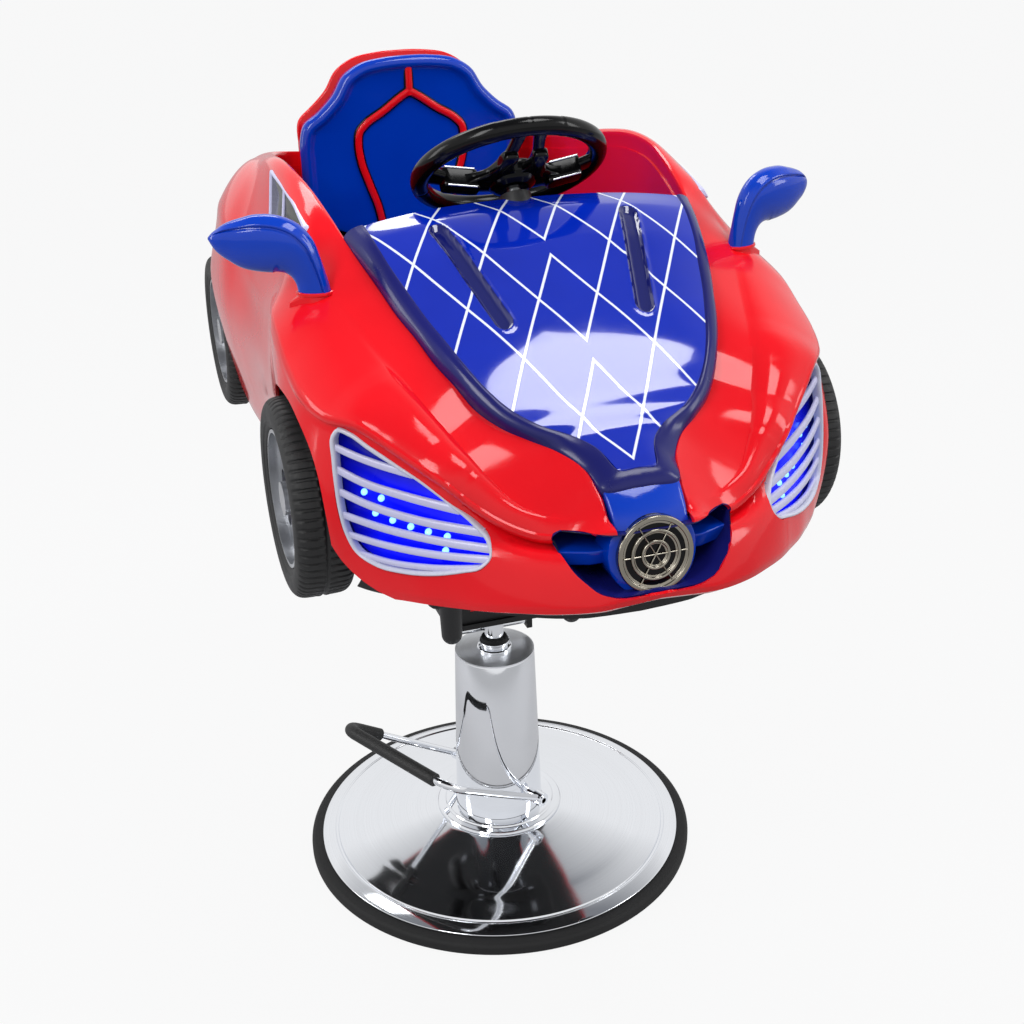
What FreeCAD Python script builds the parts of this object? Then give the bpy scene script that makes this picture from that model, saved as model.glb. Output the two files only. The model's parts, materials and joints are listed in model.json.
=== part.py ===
import FreeCAD, Part
import math
import os

# Kids car barber chair: a moulded toy car with a seat, on a hydraulic pump with a round chrome base.
# Lengths are in millimetres and angles in degrees. The origin is the centre of the base's underside,
# +Z is up and the nose of the car points along -Y. The car is symmetric about the plane x = 0.
# Tables whose names end in shares hold shares of the sizes that stand beside them.

# Driving sizes of the base and the column
base_radius = 285.0
ring_width = 36.0
ring_height = 18.0
ring_round = 7.0
plate_thickness = 6.0
cover_radius = 268.0
cover_sheet = 1.6
cover_step_radius = 248.0
cover_rim_height = 27.0
cover_groove_depth = 2.0
cover_groove_width = 4.0
cover_centre_height = 54.0
cover_dish_shares = ((0.8, 0.2), (0.6, 0.44))
flange_radius = 93.0
flange_step_radius = 80.0
flange_rise = 5.0
flange_step_rise = 8.0
column_top = 315.0
column_top_radius = 57.0
column_bottom_radius = 64.6
column_wall = 1.6
cap_thickness = 2.4
running_fit = 0.05
clear_gap = 0.4
wide_gap = 3.0
overrun = 2.0

# Driving sizes of the pump
housing_radius = 48.0
housing_foot_radius = 84.0
housing_foot = 10.0
ram_bore_radius = 22.0
rod_radius = 13.8
rod_top = 430.0
ram_height = 20.0
lift_travel = 140.0
housing_top = 300.0
gland_spigot_radius = 19.0
gland_flats = 44.0
gland_height = 14.0
gland_sides = 6
seal_radius = 18.5
seal_height = 4.5
pivot_height = 95.0
pivot_radius = 7.0
pivot_bore_radius = 4.2
pivot_half_length = 94.0
chamber_radius = 40.0
chamber_floor = 66.0
chamber_roof = 118.0
plunger_offset = 34.0
plunger_radius = 5.0
plunger_length = 62.0
plunger_collar_radius = 8.5
plunger_collar = 3.0
spring_wire_radius = 0.9
spring_turns = 5
spring_gap = 0.1
spring_recess_depth = 20.0
cam_width = 12.0
cam_hub_radius = 12.0
cam_nose_radius = 5.0
foot_bolt_circle = 68.0
foot_bolt_radius = 4.0
foot_bolt_head_radius = 6.5
foot_bolt_head = 5.0
foot_bolt_count = 4
foot_bolt_heading = 45.0
cap_screw_radius = 3.4
cap_screw_height = 281.0
cap_screw_head = 3.0

# Driving sizes of the foot pedal
pedal_heading = 26.85
pedal_slope = 34.0
pedal_reach = 240.0
pedal_half_width = 113.0
pedal_hub_place = 85.0
pedal_hub_radius = 10.5
pedal_hub_length = 15.0
pedal_bar_radius = 5.2
pedal_corner = 30.0
grip_radius = 9.2
grip_end_length = 44.0

# Driving sizes of the parts under the car
seat_plate_low = 374.0
seat_plate_thickness = 8.0
seat_plate_half_width = 75.0
seat_plate_front = -38.0
seat_plate_back = 130.0
socket_radius = 24.0
tie_bar_radius = 4.3
tie_bar_place = 26.0
tie_bar_height = 337.0
tie_bar_half_length = 60.0
tie_lug_half_width = 4.0
tie_lug_half_depth = 9.0
riser_half_width = 62.0
riser_wall = 3.0
riser_top_front = -60.0
riser_back = 125.0
riser_bottom_front = -34.0
plate_bolt_radius = 3.5
plate_bolt_head_radius = 6.0
plate_bolt_head = 4.0
plate_bolt_inset = 9.0
foot_place_x = 86.0
foot_place_front = -86.0
foot_place_back = 150.0
foot_low = 387.0
foot_low_radius = 14.0
foot_high_radius = 20.0

# Driving sizes of the car body
body_bottom = 640.0
body_top = 1034.0
body_half_width = 313.0
nose_reach = 577.0
tail_reach = 520.0
body_wall = 4.0
bumper_setback = 5.0
lip_depth = 14.0
sliver_share = 0.02
tub_half_width = 168.0
tub_front = -300.0
tub_back = 140.0
tub_low = 560.0
tub_wall = 4.0
tray_high = 652.0
tray_inset = 12.0

plan_shares = (
    (0.0, -1.0), (0.153, -0.985), (0.357, -0.925), (0.543, -0.865), (0.72, -0.79), (0.87, -0.705),
    (0.972, -0.61), (1.0, -0.48), (0.965, -0.22), (0.945, 0.1), (0.985, 0.38), (0.985, 0.6),
    (0.875, 0.835), (0.6, 0.96), (0.0, 1.0),
)
crown_plan_shares = (
    (0.0, -1.0), (0.153, -0.985), (0.357, -0.925), (0.5, -0.865), (0.6, -0.79), (0.66, -0.705),
    (0.7, -0.61), (0.74, -0.48), (0.88, -0.22), (0.945, 0.1), (0.985, 0.38), (0.985, 0.6),
    (0.875, 0.835), (0.6, 0.96), (0.0, 1.0),
)
level_shares = (
    (0.0, 0.865, 0.965, 0.925, 0.0), (0.11, 0.945, 1.0, 0.97, 0.0), (0.26, 1.0, 0.985, 0.99, 0.0),
    (0.42, 1.0, 0.975, 1.0, 0.0), (0.55, 0.975, 0.967, 0.99, 0.0), (0.68, 0.95, 0.955, 0.975, 0.25),
    (0.82, 0.865, 0.94, 0.94, 1.0), (1.0, 0.79, 0.9, 0.86, 1.0),
)
top_line_shares = (
    (-1.06, 0.21), (-0.95, 0.287), (-0.887, 0.338), (-0.832, 0.386), (-0.764, 0.444), (-0.686, 0.508),
    (-0.596, 0.594), (-0.484, 0.688), (-0.343, 0.789), (-0.215, 0.876), (-0.102, 0.924),
    (0.0, 0.945), (0.298, 0.939), (0.481, 0.916), (0.673, 0.876), (0.827, 0.787), (0.942, 0.636),
    (1.06, 0.4),
)
rim_shares = (
    (0.131, -0.931), (0.141, -0.891), (0.2, -0.806), (0.3, -0.76), (0.428, -0.686), (0.518, -0.596),
    (0.588, -0.484), (0.649, -0.343), (0.7, -0.158), (0.741, 0.062), (0.722, 0.298), (0.67, 0.56),
    (0.6, 0.74), (0.42, 0.785), (0.0, 0.79),
)
panel_shares = (
    (0.064, -0.865), (0.105, -0.818), (0.176, -0.783), (0.265, -0.76), (0.332, -0.727),
    (0.39, -0.688), (0.473, -0.591), (0.54, -0.481), (0.594, -0.348), (0.575, -0.3), (0.42, -0.272),
    (0.0, -0.258),
)
hood_line_shares = (
    (-1.0, 0.3), (-0.93, 0.355), (-0.865, 0.403), (-0.787, 0.451), (-0.726, 0.519), (-0.643, 0.616),
    (-0.591, 0.667), (-0.539, 0.713), (-0.48, 0.766), (-0.419, 0.822), (-0.352, 0.875), (-0.298, 0.897),
    (-0.256, 0.897), (-0.17, 0.89),
)
trim_low_shares = (
    (0.128, -0.886, 0.365), (0.157, -0.844, 0.388), (0.214, -0.799, 0.416), (0.291, -0.766, 0.439),
    (0.364, -0.73, 0.462), (0.425, -0.688, 0.497), (0.473, -0.645, 0.551), (0.514, -0.598, 0.594),
    (0.55, -0.541, 0.645), (0.585, -0.485, 0.688), (0.613, -0.419, 0.739), (0.645, -0.345, 0.789),
    (0.674, -0.277, 0.827), (0.687, -0.225, 0.853),
)
trim_high_shares = (
    (0.064, -0.865), (0.099, -0.821), (0.16, -0.787), (0.256, -0.763), (0.332, -0.726), (0.39, -0.688),
    (0.435, -0.643), (0.473, -0.591), (0.508, -0.539), (0.54, -0.48), (0.572, -0.419), (0.594, -0.352),
    (0.604, -0.298), (0.613, -0.246),
)
trim_widen_share = 0.35

# Driving sizes of the hood
hood_half_width = 220.0
hood_crown = 15.0
panel_thickness = 4.0
trim_depth = 14.0
trim_back = -156.0
slot_front = (81.0, -331.0)
slot_back = (113.0, -206.0)
slot_radius = 9.0
slot_wall = 1.5

# Driving sizes of the nose
grille_height = 720.0
grille_front = -549.0
grille_radius = 40.0
grille_tilt = 5.7
grille_spoke_depth = 5.4
grille_first_spoke = 90.0
grille_depth = 9.0
grille_ring_shares = (0.93, 0.72, 0.52, 0.31)
grille_ring_width = 2.6
grille_spoke_width = 1.8
grille_spokes = 6
grille_hub_radius = 4.2
nose_panel_half_width = 39.0
nose_panel_top = 786.0
nose_panel_top_front = -512.0
nose_boss_radius = 47.0
nose_boss_low_share = 0.8
nose_boss_high_share = 0.6
recess_half_width = 104.0
recess_low = 690.0
recess_high = 748.0
recess_back = -470.0
recess_wall = 3.0
bar_half_height = 5.0
bar_height = 716.0
bar_front = -520.0

# Driving sizes of the lamps
lamp_heading = 47.0
lamp_plane = 470.0
lamp_pocket = 34.0
lamp_wall = 3.0
lamp_lens = 3.0
lamp_louvre_depth = 4.0
lamp_louvre_width = 4.6
lamp_louvres = 6
lamp_louvre_spacing = 22.0
lamp_louvre_slope = 8.0
lamp_lens_depth = 8.0
lamp_bezel_width = 4.0
lamp_board = 1.6
lamp_centre_u = -135.0
lamp_centre_z = 754.0
lamp_half_width = 95.0
lamp_half_height = 80.0
lamp_shares = (
    (0.87, 0.99), (0.82, 0.3), (0.75, -0.4), (0.62, -0.82), (0.35, -0.98), (-0.13, -0.9),
    (-0.62, -0.72), (-0.9, -0.58), (-0.99, -0.36), (-0.93, -0.18), (-0.72, 0.03), (-0.42, 0.32),
    (0.03, 0.7), (0.52, 0.95),
)

# Driving sizes of the mirrors
mirror_root = (252.0, -211.0, 934.0)
mirror_head = (309.0, -185.0, 985.0)
mirror_half_length = 52.0
mirror_radius = 24.0
mirror_stalk_radius = 15.0
mirror_pedestal_radius = 21.0
mirror_pedestal_height = 24.0
mirror_glass = 2.0
mirror_stalk_share = 0.5
mirror_face_share = 0.55

# Driving sizes of the quarter windows
window_front = -91.0
window_back = 107.0
window_low = 944.0
window_front_height = 968.0
window_high = 1002.0
window_face = 225.0
window_frame_width = 5.0
window_glass_drop = 1.2
window_point_share = 2.5
window_corner_share = 1.4

# Driving sizes of the seat
seat_half_width = 165.0
seat_front = 40.0
seat_pan_low = 780.0
seat_pan_high = 820.0
seat_back_front = 322.0
seat_back_thickness = 54.0
seat_back_top = 1100.0
backing_thickness = 6.0
backing_overhang = 2.0
seat_strip_width = 11.0
seat_strip_rise = 1.5
seat_strip_depth = 5.0
bolster_width = 36.0
bolster_rise = 52.0
bolster_inset = 14.0
seat_support_half_width = 120.0
seat_support_front = 160.0
seat_support_wall = 4.0
seat_back_shares = (
    (0.0, 0.0), (0.84, 0.0), (0.96, 0.25), (1.0, 0.55), (1.0, 0.67), (0.93, 0.735), (0.76, 0.79),
    (0.64, 0.86), (0.54, 0.945), (0.38, 0.99), (0.0, 1.0),
)

# Driving sizes of the steering
wheel_centre = (0.0, -115.4, 1022.8)
wheel_tilt = 34.6
wheel_radius = 117.0
wheel_grip_radius = 11.0
wheel_hub_radius = 30.0
wheel_hub_depth = 26.0
wheel_dish = 16.0
spoke_half_width = 13.0
spoke_depth = 12.0
# Each spoke's heading, share of the full width, and side step as a share of the hub's radius
spoke_plan = ((0.0, 1.0, 0.0), (180.0, 1.0, 0.0), (270.0, 0.5, -0.57), (270.0, 0.5, 0.57))
steering_shaft_radius = 8.0
steering_shaft_length = 96.0
cowl_radius = 19.0
cowl_bore_radius = 14.0
cowl_near = 36.0
cowl_far = 115.0
bush_length = 22.0
horn_radius = 18.0
horn_depth = 7.0
horn_travel = 3.0
insert_inner = 40.0
insert_outer = 84.0
insert_half_width = 7.0
insert_depth = 3.0
dash_half_width = 186.0
dash_front = -172.0
dash_thickness = 12.0
dash_low = 812.0

# Driving sizes of the wheels
tyre_radius = 113.5
tyre_width = 66.0
tyre_outer_front = 325.0
tyre_outer_rear = 300.0
axle_front = -252.0
axle_rear = 408.0
axle_height = 708.0
axle_radius = 6.0
rim_radius = 78.0
rim_disc = 8.0
rim_lip = 4.0
rim_spokes = 8
rim_hole_radius = 15.0
rim_hole_circle = 46.0
hub_radius = 17.0
hub_cap_radius = 19.0
hub_cap_depth = 7.0
arch_radius = 127.0
tread_groove = 2.0
tread_groove_width = 4.0
tread_grooves = 3
wheel_room = 8.0
axle_bracket_width = 14.0
tyre_section_shares = ((0.8, 1.0), (0.94, 0.9), (1.0, 0.72))
tyre_bead_share = 0.86
tread_pitch_share = 0.5
rim_disc_share = 0.5
rim_hub_share = 0.7

# Driving sizes of the electric parts
battery_size = (90.0, 66.0, 70.0)
battery_place = -400.0

strip_shares = (
    (0.0, 0.965), (0.0, 0.845), (0.46, 0.697), (0.47, 0.56), (0.33, 0.36), (0.29, 0.16),
)


def vec(x, y, z=0.0):
    return FreeCAD.Vector(x, y, z)


AXIS_X = vec(1, 0)
AXIS_Y = vec(0, 1)
AXIS_Z = vec(0, 0, 1)


def heading(angle):
    """Level unit vector at an angle from +X, counted towards +Y."""
    return vec(math.cos(math.radians(angle)), math.sin(math.radians(angle)))


def cylinder(radius, low, high, x=0.0, y=0.0):
    """Upright cylinder between two heights."""
    return Part.makeCylinder(radius, high - low, vec(x, y, low), AXIS_Z)


def tube(outer, inner, low, high):
    """Upright tube between two heights."""
    return cylinder(outer, low, high).cut(cylinder(inner, low - overrun, high + overrun))


def bar(start, end, radius):
    """Round bar from one point to another."""
    run = end - start
    return Part.makeCylinder(radius, run.Length, start, run)


def box(low, high):
    """Box between two opposite corners."""
    return Part.makeBox(high[0] - low[0], high[1] - low[1], high[2] - low[2], vec(*low))


def polygon_wire(points):
    return Part.makePolygon(list(points) + [points[0]])


def revolved(profile):
    """Solid of a closed profile of (radius, height) points turned about the Z axis."""
    wire = polygon_wire([vec(radius, 0, height) for radius, height in profile])
    return Part.Face(wire).revolve(vec(0, 0), AXIS_Z, 360)


def spline(points):
    curve = Part.BSplineCurve()
    curve.interpolate(points)
    return curve.toShape()


def straight(start, end):
    return Part.LineSegment(start, end).toShape()


def plan_face(points, height):
    """Face of a half outline, given from front to back, joined with its mirror image."""
    right = [vec(x, y, height) for x, y in points]
    left = [vec(-x, y, height) for x, y in reversed(points)]
    edges = [spline(right)]
    if (right[-1] - left[0]).Length > clear_gap:
        edges.append(straight(right[-1], left[0]))
    edges.append(spline(left))
    if (left[-1] - right[0]).Length > clear_gap:
        edges.append(straight(left[-1], right[0]))
    return Part.Face(Part.Wire(edges))


def plan_prism(points, low, high):
    return plan_face(points, low).extrude(vec(0, 0, high - low))


def grown_outline(shares, growth):
    """Plan outline in real sizes, moved outwards square to itself by a growth."""
    outline = []
    for x_share, y_share in shares:
        reach = nose_reach if y_share < 0 else tail_reach
        outline.append((x_share * body_half_width, y_share * reach))
    grown = []
    for place, (x, y) in enumerate(outline):
        before = outline[max(place - 1, 0)]
        after = outline[min(place + 1, len(outline) - 1)]
        run_x = after[0] - before[0]
        run_y = after[1] - before[1]
        run = math.hypot(run_x, run_y)
        if x == 0:
            grown.append((x, y + growth))
        else:
            grown.append((x + growth * run_y / run, y - growth * run_x / run))
    return grown


def mirrored(shape):
    return shape.mirror(vec(0, 0), AXIS_X)


def with_mirror(shape):
    return Part.makeCompound([shape, mirrored(shape)])


def side_line(shares, lift):
    """Points of a line along the body in side view, raised by a lift."""
    points = []
    for y_share, z_share in shares:
        reach = nose_reach if y_share < 0 else tail_reach
        points.append(vec(0, y_share * reach, body_bottom + z_share * (body_top - body_bottom) + lift))
    return points


def hood_fall(x):
    """Drop of the hood's surface beside its middle line."""
    return hood_crown * (x / hood_half_width) ** 2


def hood_height(x, y):
    """Height of the hood's surface, by straight runs between the points of its middle line."""
    points = side_line(hood_line_shares, -hood_fall(x))
    for before, after in zip(points, points[1:]):
        if before.y <= y <= after.y:
            share = (y - before.y) / (after.y - before.y)
            return before.z + share * (after.z - before.z)
    return points[-1].z


def hood_slab(high_lift, low_lift):
    """Slab between two copies of the hood's surface, which bulges across along its middle line."""
    sections = []
    for middle in side_line(hood_line_shares, 0.0):
        rows = []
        for lift in (high_lift, low_lift):
            side = vec(hood_half_width, middle.y, middle.z + lift - hood_crown)
            other = vec(-hood_half_width, side.y, side.z)
            rows.append((other, vec(0, middle.y, middle.z + lift), side))
        high, low = rows
        sections.append(Part.Wire([Part.Arc(*high).toShape(), straight(high[2], low[2]),
                                   Part.Arc(*reversed(low)).toShape(), straight(low[0], high[0])]))
    return Part.makeLoft(sections, True, False)


def side_slab(high_lift, low_lift):
    """Wide slab between two copies of the top line, one above the other."""
    high = side_line(top_line_shares, high_lift)
    low = list(reversed(side_line(top_line_shares, low_lift)))
    edges = [spline(high), straight(high[-1], low[0]), spline(low), straight(low[-1], high[0])]
    face = Part.Face(Part.Wire(edges))
    face.translate(vec(-body_half_width - overrun, 0))
    return face.extrude(vec(2 * (body_half_width + overrun), 0))


def body_block(inset, top_drop, low_drop=0.0):
    """Solid of the whole car body up to its top line, drawn in by an inset at the sides."""
    wires = []
    for height_share, width_share, nose_share, tail_share, crown_share in level_shares:
        height = body_bottom + height_share * (body_top - body_bottom)
        if height_share == 0:
            height = height - low_drop
        half = []
        for (x_share, y_share), (crown_x_share, _) in zip(plan_shares, crown_plan_shares):
            x_share = x_share + crown_share * (crown_x_share - x_share)
            reach = nose_reach * nose_share if y_share < 0 else tail_reach * tail_share
            width = body_half_width * width_share - inset
            half.append(vec(x_share * width, y_share * (reach - inset), height))
        left = [vec(-point.x, point.y, point.z) for point in reversed(half[1:-1])]
        curve = Part.BSplineCurve()
        curve.interpolate(Points=half + left, PeriodicFlag=True)
        wires.append(Part.Wire([curve.toShape()]))
    block = Part.makeLoft(wires, True, False)
    depth = body_top - body_bottom
    return block.common(side_slab(-top_drop, -top_drop - 2 * depth))


def rounded_path(points, radius):
    """Wire through points, with a tangent arc of one radius at each inner point."""
    edges = []
    start = points[0]
    for before, corner, after in zip(points, points[1:], points[2:]):
        way_in = (corner - before).normalize()
        way_out = (after - corner).normalize()
        turn = way_in.getAngle(way_out)
        trim = radius * math.tan(turn / 2)
        arc_start = corner - way_in * trim
        arc_end = corner + way_out * trim
        inward = (way_out - way_in).normalize()
        middle = corner + inward * (radius / math.cos(turn / 2) - radius)
        edges.append(straight(start, arc_start))
        edges.append(Part.Arc(arc_start, middle, arc_end).toShape())
        start = arc_end
    edges.append(straight(start, points[-1]))
    return Part.Wire(edges)


def round_sweep(points, corner_radius, radius):
    """Round rod along straight runs with rounded corners."""
    path = rounded_path(points, corner_radius)
    way = points[1] - points[0]
    section = Part.Wire([Part.makeCircle(radius, points[0], way)])
    return path.makePipeShell([section], True, False)


def save(name, shape):
    """Write one named piece as a STEP file and print its size."""
    solids = shape.Solids
    shape = solids[0] if len(solids) == 1 else Part.makeCompound(solids)
    bounds = shape.BoundBox
    print(name, len(solids), "valid" if shape.isValid() else "NOT VALID", round(shape.Volume),
          [round(side) for side in (bounds.XMin, bounds.YMin, bounds.ZMin)],
          [round(side) for side in (bounds.XMax, bounds.YMax, bounds.ZMax)])
    shape.exportStep(os.path.join("parts", name + ".step"))


pivot_way = heading(90 + pedal_heading)
press_way = heading(180 + pedal_heading)
pivot_centre = vec(0, 0, pivot_height)
cap_top = column_top + cap_thickness
rod_low = housing_top - gland_height - lift_travel
ram_floor = rod_low - ram_height
plunger_low = pivot_height + cam_nose_radius + clear_gap
seat_plate_high = seat_plate_low + seat_plate_thickness


def pivot_rod(radius, half_length):
    return bar(pivot_centre - pivot_way * half_length, pivot_centre + pivot_way * half_length, radius)


def make_base():
    """Rubber ring, steel plate, spun chrome cover and the flange round the column's foot."""
    inner = base_radius - ring_width
    half_round = ring_round / 2
    save("base_ring", revolved((
        (inner, 0), (base_radius - half_round, 0), (base_radius, half_round),
        (base_radius, ring_height - ring_round), (base_radius - half_round, ring_height - half_round / 2),
        (base_radius - ring_round, ring_height), (inner, ring_height),
    )))
    save("base_plate", cylinder(inner, 0, plate_thickness))
    rise = cover_centre_height - cover_rim_height
    dish = [
        (cover_step_radius + cover_groove_width, cover_rim_height),
        (cover_step_radius, cover_rim_height - cover_groove_depth),
        (cover_step_radius - cover_groove_width, cover_rim_height),
    ]
    for radius_share, height_share in cover_dish_shares:
        dish.append((cover_step_radius * radius_share, cover_rim_height + rise * height_share))
    dish += [(flange_radius, cover_centre_height), (column_bottom_radius, cover_centre_height)]
    under = [(radius, height - cover_sheet) for radius, height in reversed(dish)]
    edge = [(cover_radius - cover_sheet, ring_height), (cover_radius, ring_height),
            (cover_radius, ring_height + cover_sheet * 2)]
    save("base_cover", revolved(dish + under + edge))
    low = cover_centre_height
    save("column_flange", revolved((
        (column_bottom_radius, low), (flange_radius, low), (flange_radius, low + flange_rise / 2),
        (flange_radius - flange_rise / 2, low + flange_rise), (flange_step_radius, low + flange_rise),
        (flange_step_radius, low + flange_step_rise), (column_bottom_radius, low + flange_step_rise),
    )))


def make_column():
    """Tapered chrome shroud on the flange, its cap, and the screw that holds the cap."""
    low = cover_centre_height - cover_sheet
    high = column_top
    shroud = Part.makeCone(column_bottom_radius, column_top_radius, high - low, vec(0, 0, low), AXIS_Z)
    hollow = Part.makeCone(column_bottom_radius - column_wall, column_top_radius - column_wall,
                           high - low, vec(0, 0, low), AXIS_Z)
    shroud = shroud.cut(hollow).cut(pivot_rod(pivot_radius + wide_gap, housing_foot_radius))
    screw_start = vec(column_top_radius - column_wall * 2, 0, cap_screw_height)
    screw = Part.makeCylinder(cap_screw_radius, column_wall * 2 + cap_screw_head, screw_start, AXIS_X)
    save("column_shroud", shroud.cut(screw))
    skirt_low = cap_screw_height - cap_screw_radius * 2
    skirt_radius = column_top_radius - column_wall - clear_gap
    cap = cylinder(column_top_radius, high, cap_top).fuse(cylinder(skirt_radius, skirt_low, high))
    cap = cap.cut(cylinder(skirt_radius - column_wall, skirt_low - overrun, high))
    cap = cap.cut(cylinder(gland_spigot_radius, skirt_low, cap_top + overrun)).cut(screw)
    save("column_cap", cap.removeSplitter())
    save("cap_screw", screw)


def make_pump():
    """Pump block with its gland, wiper seal, foot bolts, plunger, return spring and ram."""
    foot_high = plate_thickness + housing_foot
    block = cylinder(housing_radius, plate_thickness, housing_top)
    block = block.fuse(cylinder(housing_foot_radius, plate_thickness, foot_high))
    block = block.cut(cylinder(ram_bore_radius, ram_floor, housing_top + overrun))
    block = block.cut(cylinder(chamber_radius, chamber_floor, chamber_roof))
    block = block.cut(pivot_rod(pivot_radius + running_fit, housing_radius + overrun))
    spot = press_way * -plunger_offset
    plunger_high = plunger_low + plunger_length
    bore_high = plunger_high + plunger_offset
    block = block.cut(cylinder(plunger_radius + running_fit, chamber_floor, bore_high, spot.x, spot.y))
    recess_high = chamber_roof + spring_recess_depth
    recess_radius = plunger_collar_radius + clear_gap
    block = block.cut(cylinder(recess_radius, chamber_floor, recess_high, spot.x, spot.y))
    bolts = []
    for number in range(foot_bolt_count):
        place = heading(foot_bolt_heading + number * 360 / foot_bolt_count) * foot_bolt_circle
        shank = cylinder(foot_bolt_radius, plate_thickness, foot_high, place.x, place.y)
        head = cylinder(foot_bolt_head_radius, foot_high, foot_high + foot_bolt_head, place.x, place.y)
        bolts.append(shank.fuse(head))
        block = block.cut(shank)
    save("foot_bolts", Part.makeCompound(bolts))
    save("pump_block", block)
    plunger = cylinder(plunger_radius, plunger_low, plunger_high, spot.x, spot.y)
    collar_high = plunger_low + plunger_collar
    collar = cylinder(plunger_collar_radius, plunger_low, collar_high, spot.x, spot.y)
    save("pump_plunger", plunger.fuse(collar).removeSplitter())
    coil_radius = (plunger_radius + plunger_collar_radius) / 2 + spring_gap
    coil_low = collar_high + spring_wire_radius + spring_gap
    coil_high = recess_high - spring_wire_radius - spring_gap
    helix = Part.makeLongHelix((coil_high - coil_low) / spring_turns, coil_high - coil_low, coil_radius)
    wire_section = Part.Wire([Part.makeCircle(spring_wire_radius, vec(coil_radius, 0), AXIS_Y)])
    coil = Part.Wire(helix.Edges).makePipeShell([wire_section], True, True)
    coil.translate(vec(spot.x, spot.y, coil_low))
    save("plunger_spring", coil)
    gland = cylinder(ram_bore_radius, housing_top - gland_height, housing_top)
    gland = gland.fuse(cylinder(gland_spigot_radius, housing_top, cap_top))
    corner = gland_flats / 2 / math.cos(math.pi / gland_sides)
    sides = [heading(number * 360 / gland_sides) for number in range(gland_sides)]
    hexagon = [side * corner + vec(0, 0, cap_top) for side in sides]
    gland = gland.fuse(Part.Face(polygon_wire(hexagon)).extrude(vec(0, 0, gland_height)))
    gland_room = 2 * gland_height
    gland = gland.cut(cylinder(rod_radius + running_fit, housing_top - gland_room, cap_top + gland_room))
    save("gland_nut", gland.removeSplitter())
    seal_low = cap_top + gland_height
    save("wiper_seal", tube(seal_radius, rod_radius + clear_gap, seal_low, seal_low + seal_height))
    save("ram_head", cylinder(ram_bore_radius - running_fit, ram_floor, rod_low))
    save("piston_rod", cylinder(rod_radius, rod_low, rod_top))


def pedal_point(arm, across):
    """Point on the pedal's plane, an arm's length out from the pivot and some way across."""
    level = arm * math.cos(math.radians(pedal_slope))
    rise = arm * math.sin(math.radians(pedal_slope))
    return pivot_centre + press_way * level + pivot_way * across + vec(0, 0, rise)


def make_pedal():
    """Pivot tube with its two hubs, bent lever with a rubber grip, and the cam that lifts the plunger."""
    pivot = pivot_rod(pivot_radius, pivot_half_length)
    carrier = pivot
    hubs = []
    for side in (-1, 1):
        start = pivot_centre + pivot_way * (side * pedal_hub_place - pedal_hub_length / 2)
        hubs.append(bar(start, start + pivot_way * pedal_hub_length, pedal_hub_radius))
        carrier = carrier.fuse(hubs[-1])
    carrier = carrier.cut(pivot_rod(pivot_bore_radius, pivot_half_length + overrun))
    save("pedal_pivot", carrier.removeSplitter())
    corners = [pedal_point(0, -pedal_hub_place), pedal_point(pedal_reach, -pedal_half_width),
               pedal_point(pedal_reach, pedal_half_width), pedal_point(0, pedal_hub_place)]
    lever = round_sweep(corners, pedal_corner, pedal_bar_radius)
    for hub in hubs:
        lever = lever.cut(hub)
    lever = lever.cut(pivot)
    save("pedal_lever", max(lever.Solids, key=lambda solid: solid.Volume))
    grip_start = pedal_point(pedal_reach, -pedal_half_width + pedal_corner)
    arm_back = (corners[3] - corners[2]).normalize()
    grip_end = corners[2] + arm_back * (pedal_corner + grip_end_length)
    grip = round_sweep([grip_start, corners[2], grip_end], pedal_corner, grip_radius)
    save("pedal_grip", grip.cut(round_sweep(corners, pedal_corner, pedal_bar_radius)))
    half_width = pivot_way * (cam_width / 2)
    cam = bar(pivot_centre - half_width, pivot_centre + half_width, cam_hub_radius)
    nose_centre = pivot_centre - press_way * plunger_offset
    cam = cam.fuse(bar(nose_centre - half_width, nose_centre + half_width, cam_nose_radius))
    up = vec(0, 0, cam_nose_radius)
    web = [nose_centre - half_width - up, pivot_centre - half_width - up,
           pivot_centre - half_width + up, nose_centre - half_width + up]
    cam = cam.fuse(Part.Face(polygon_wire(web)).extrude(half_width * 2))
    save("pump_cam", cam.cut(pivot).removeSplitter())


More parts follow.
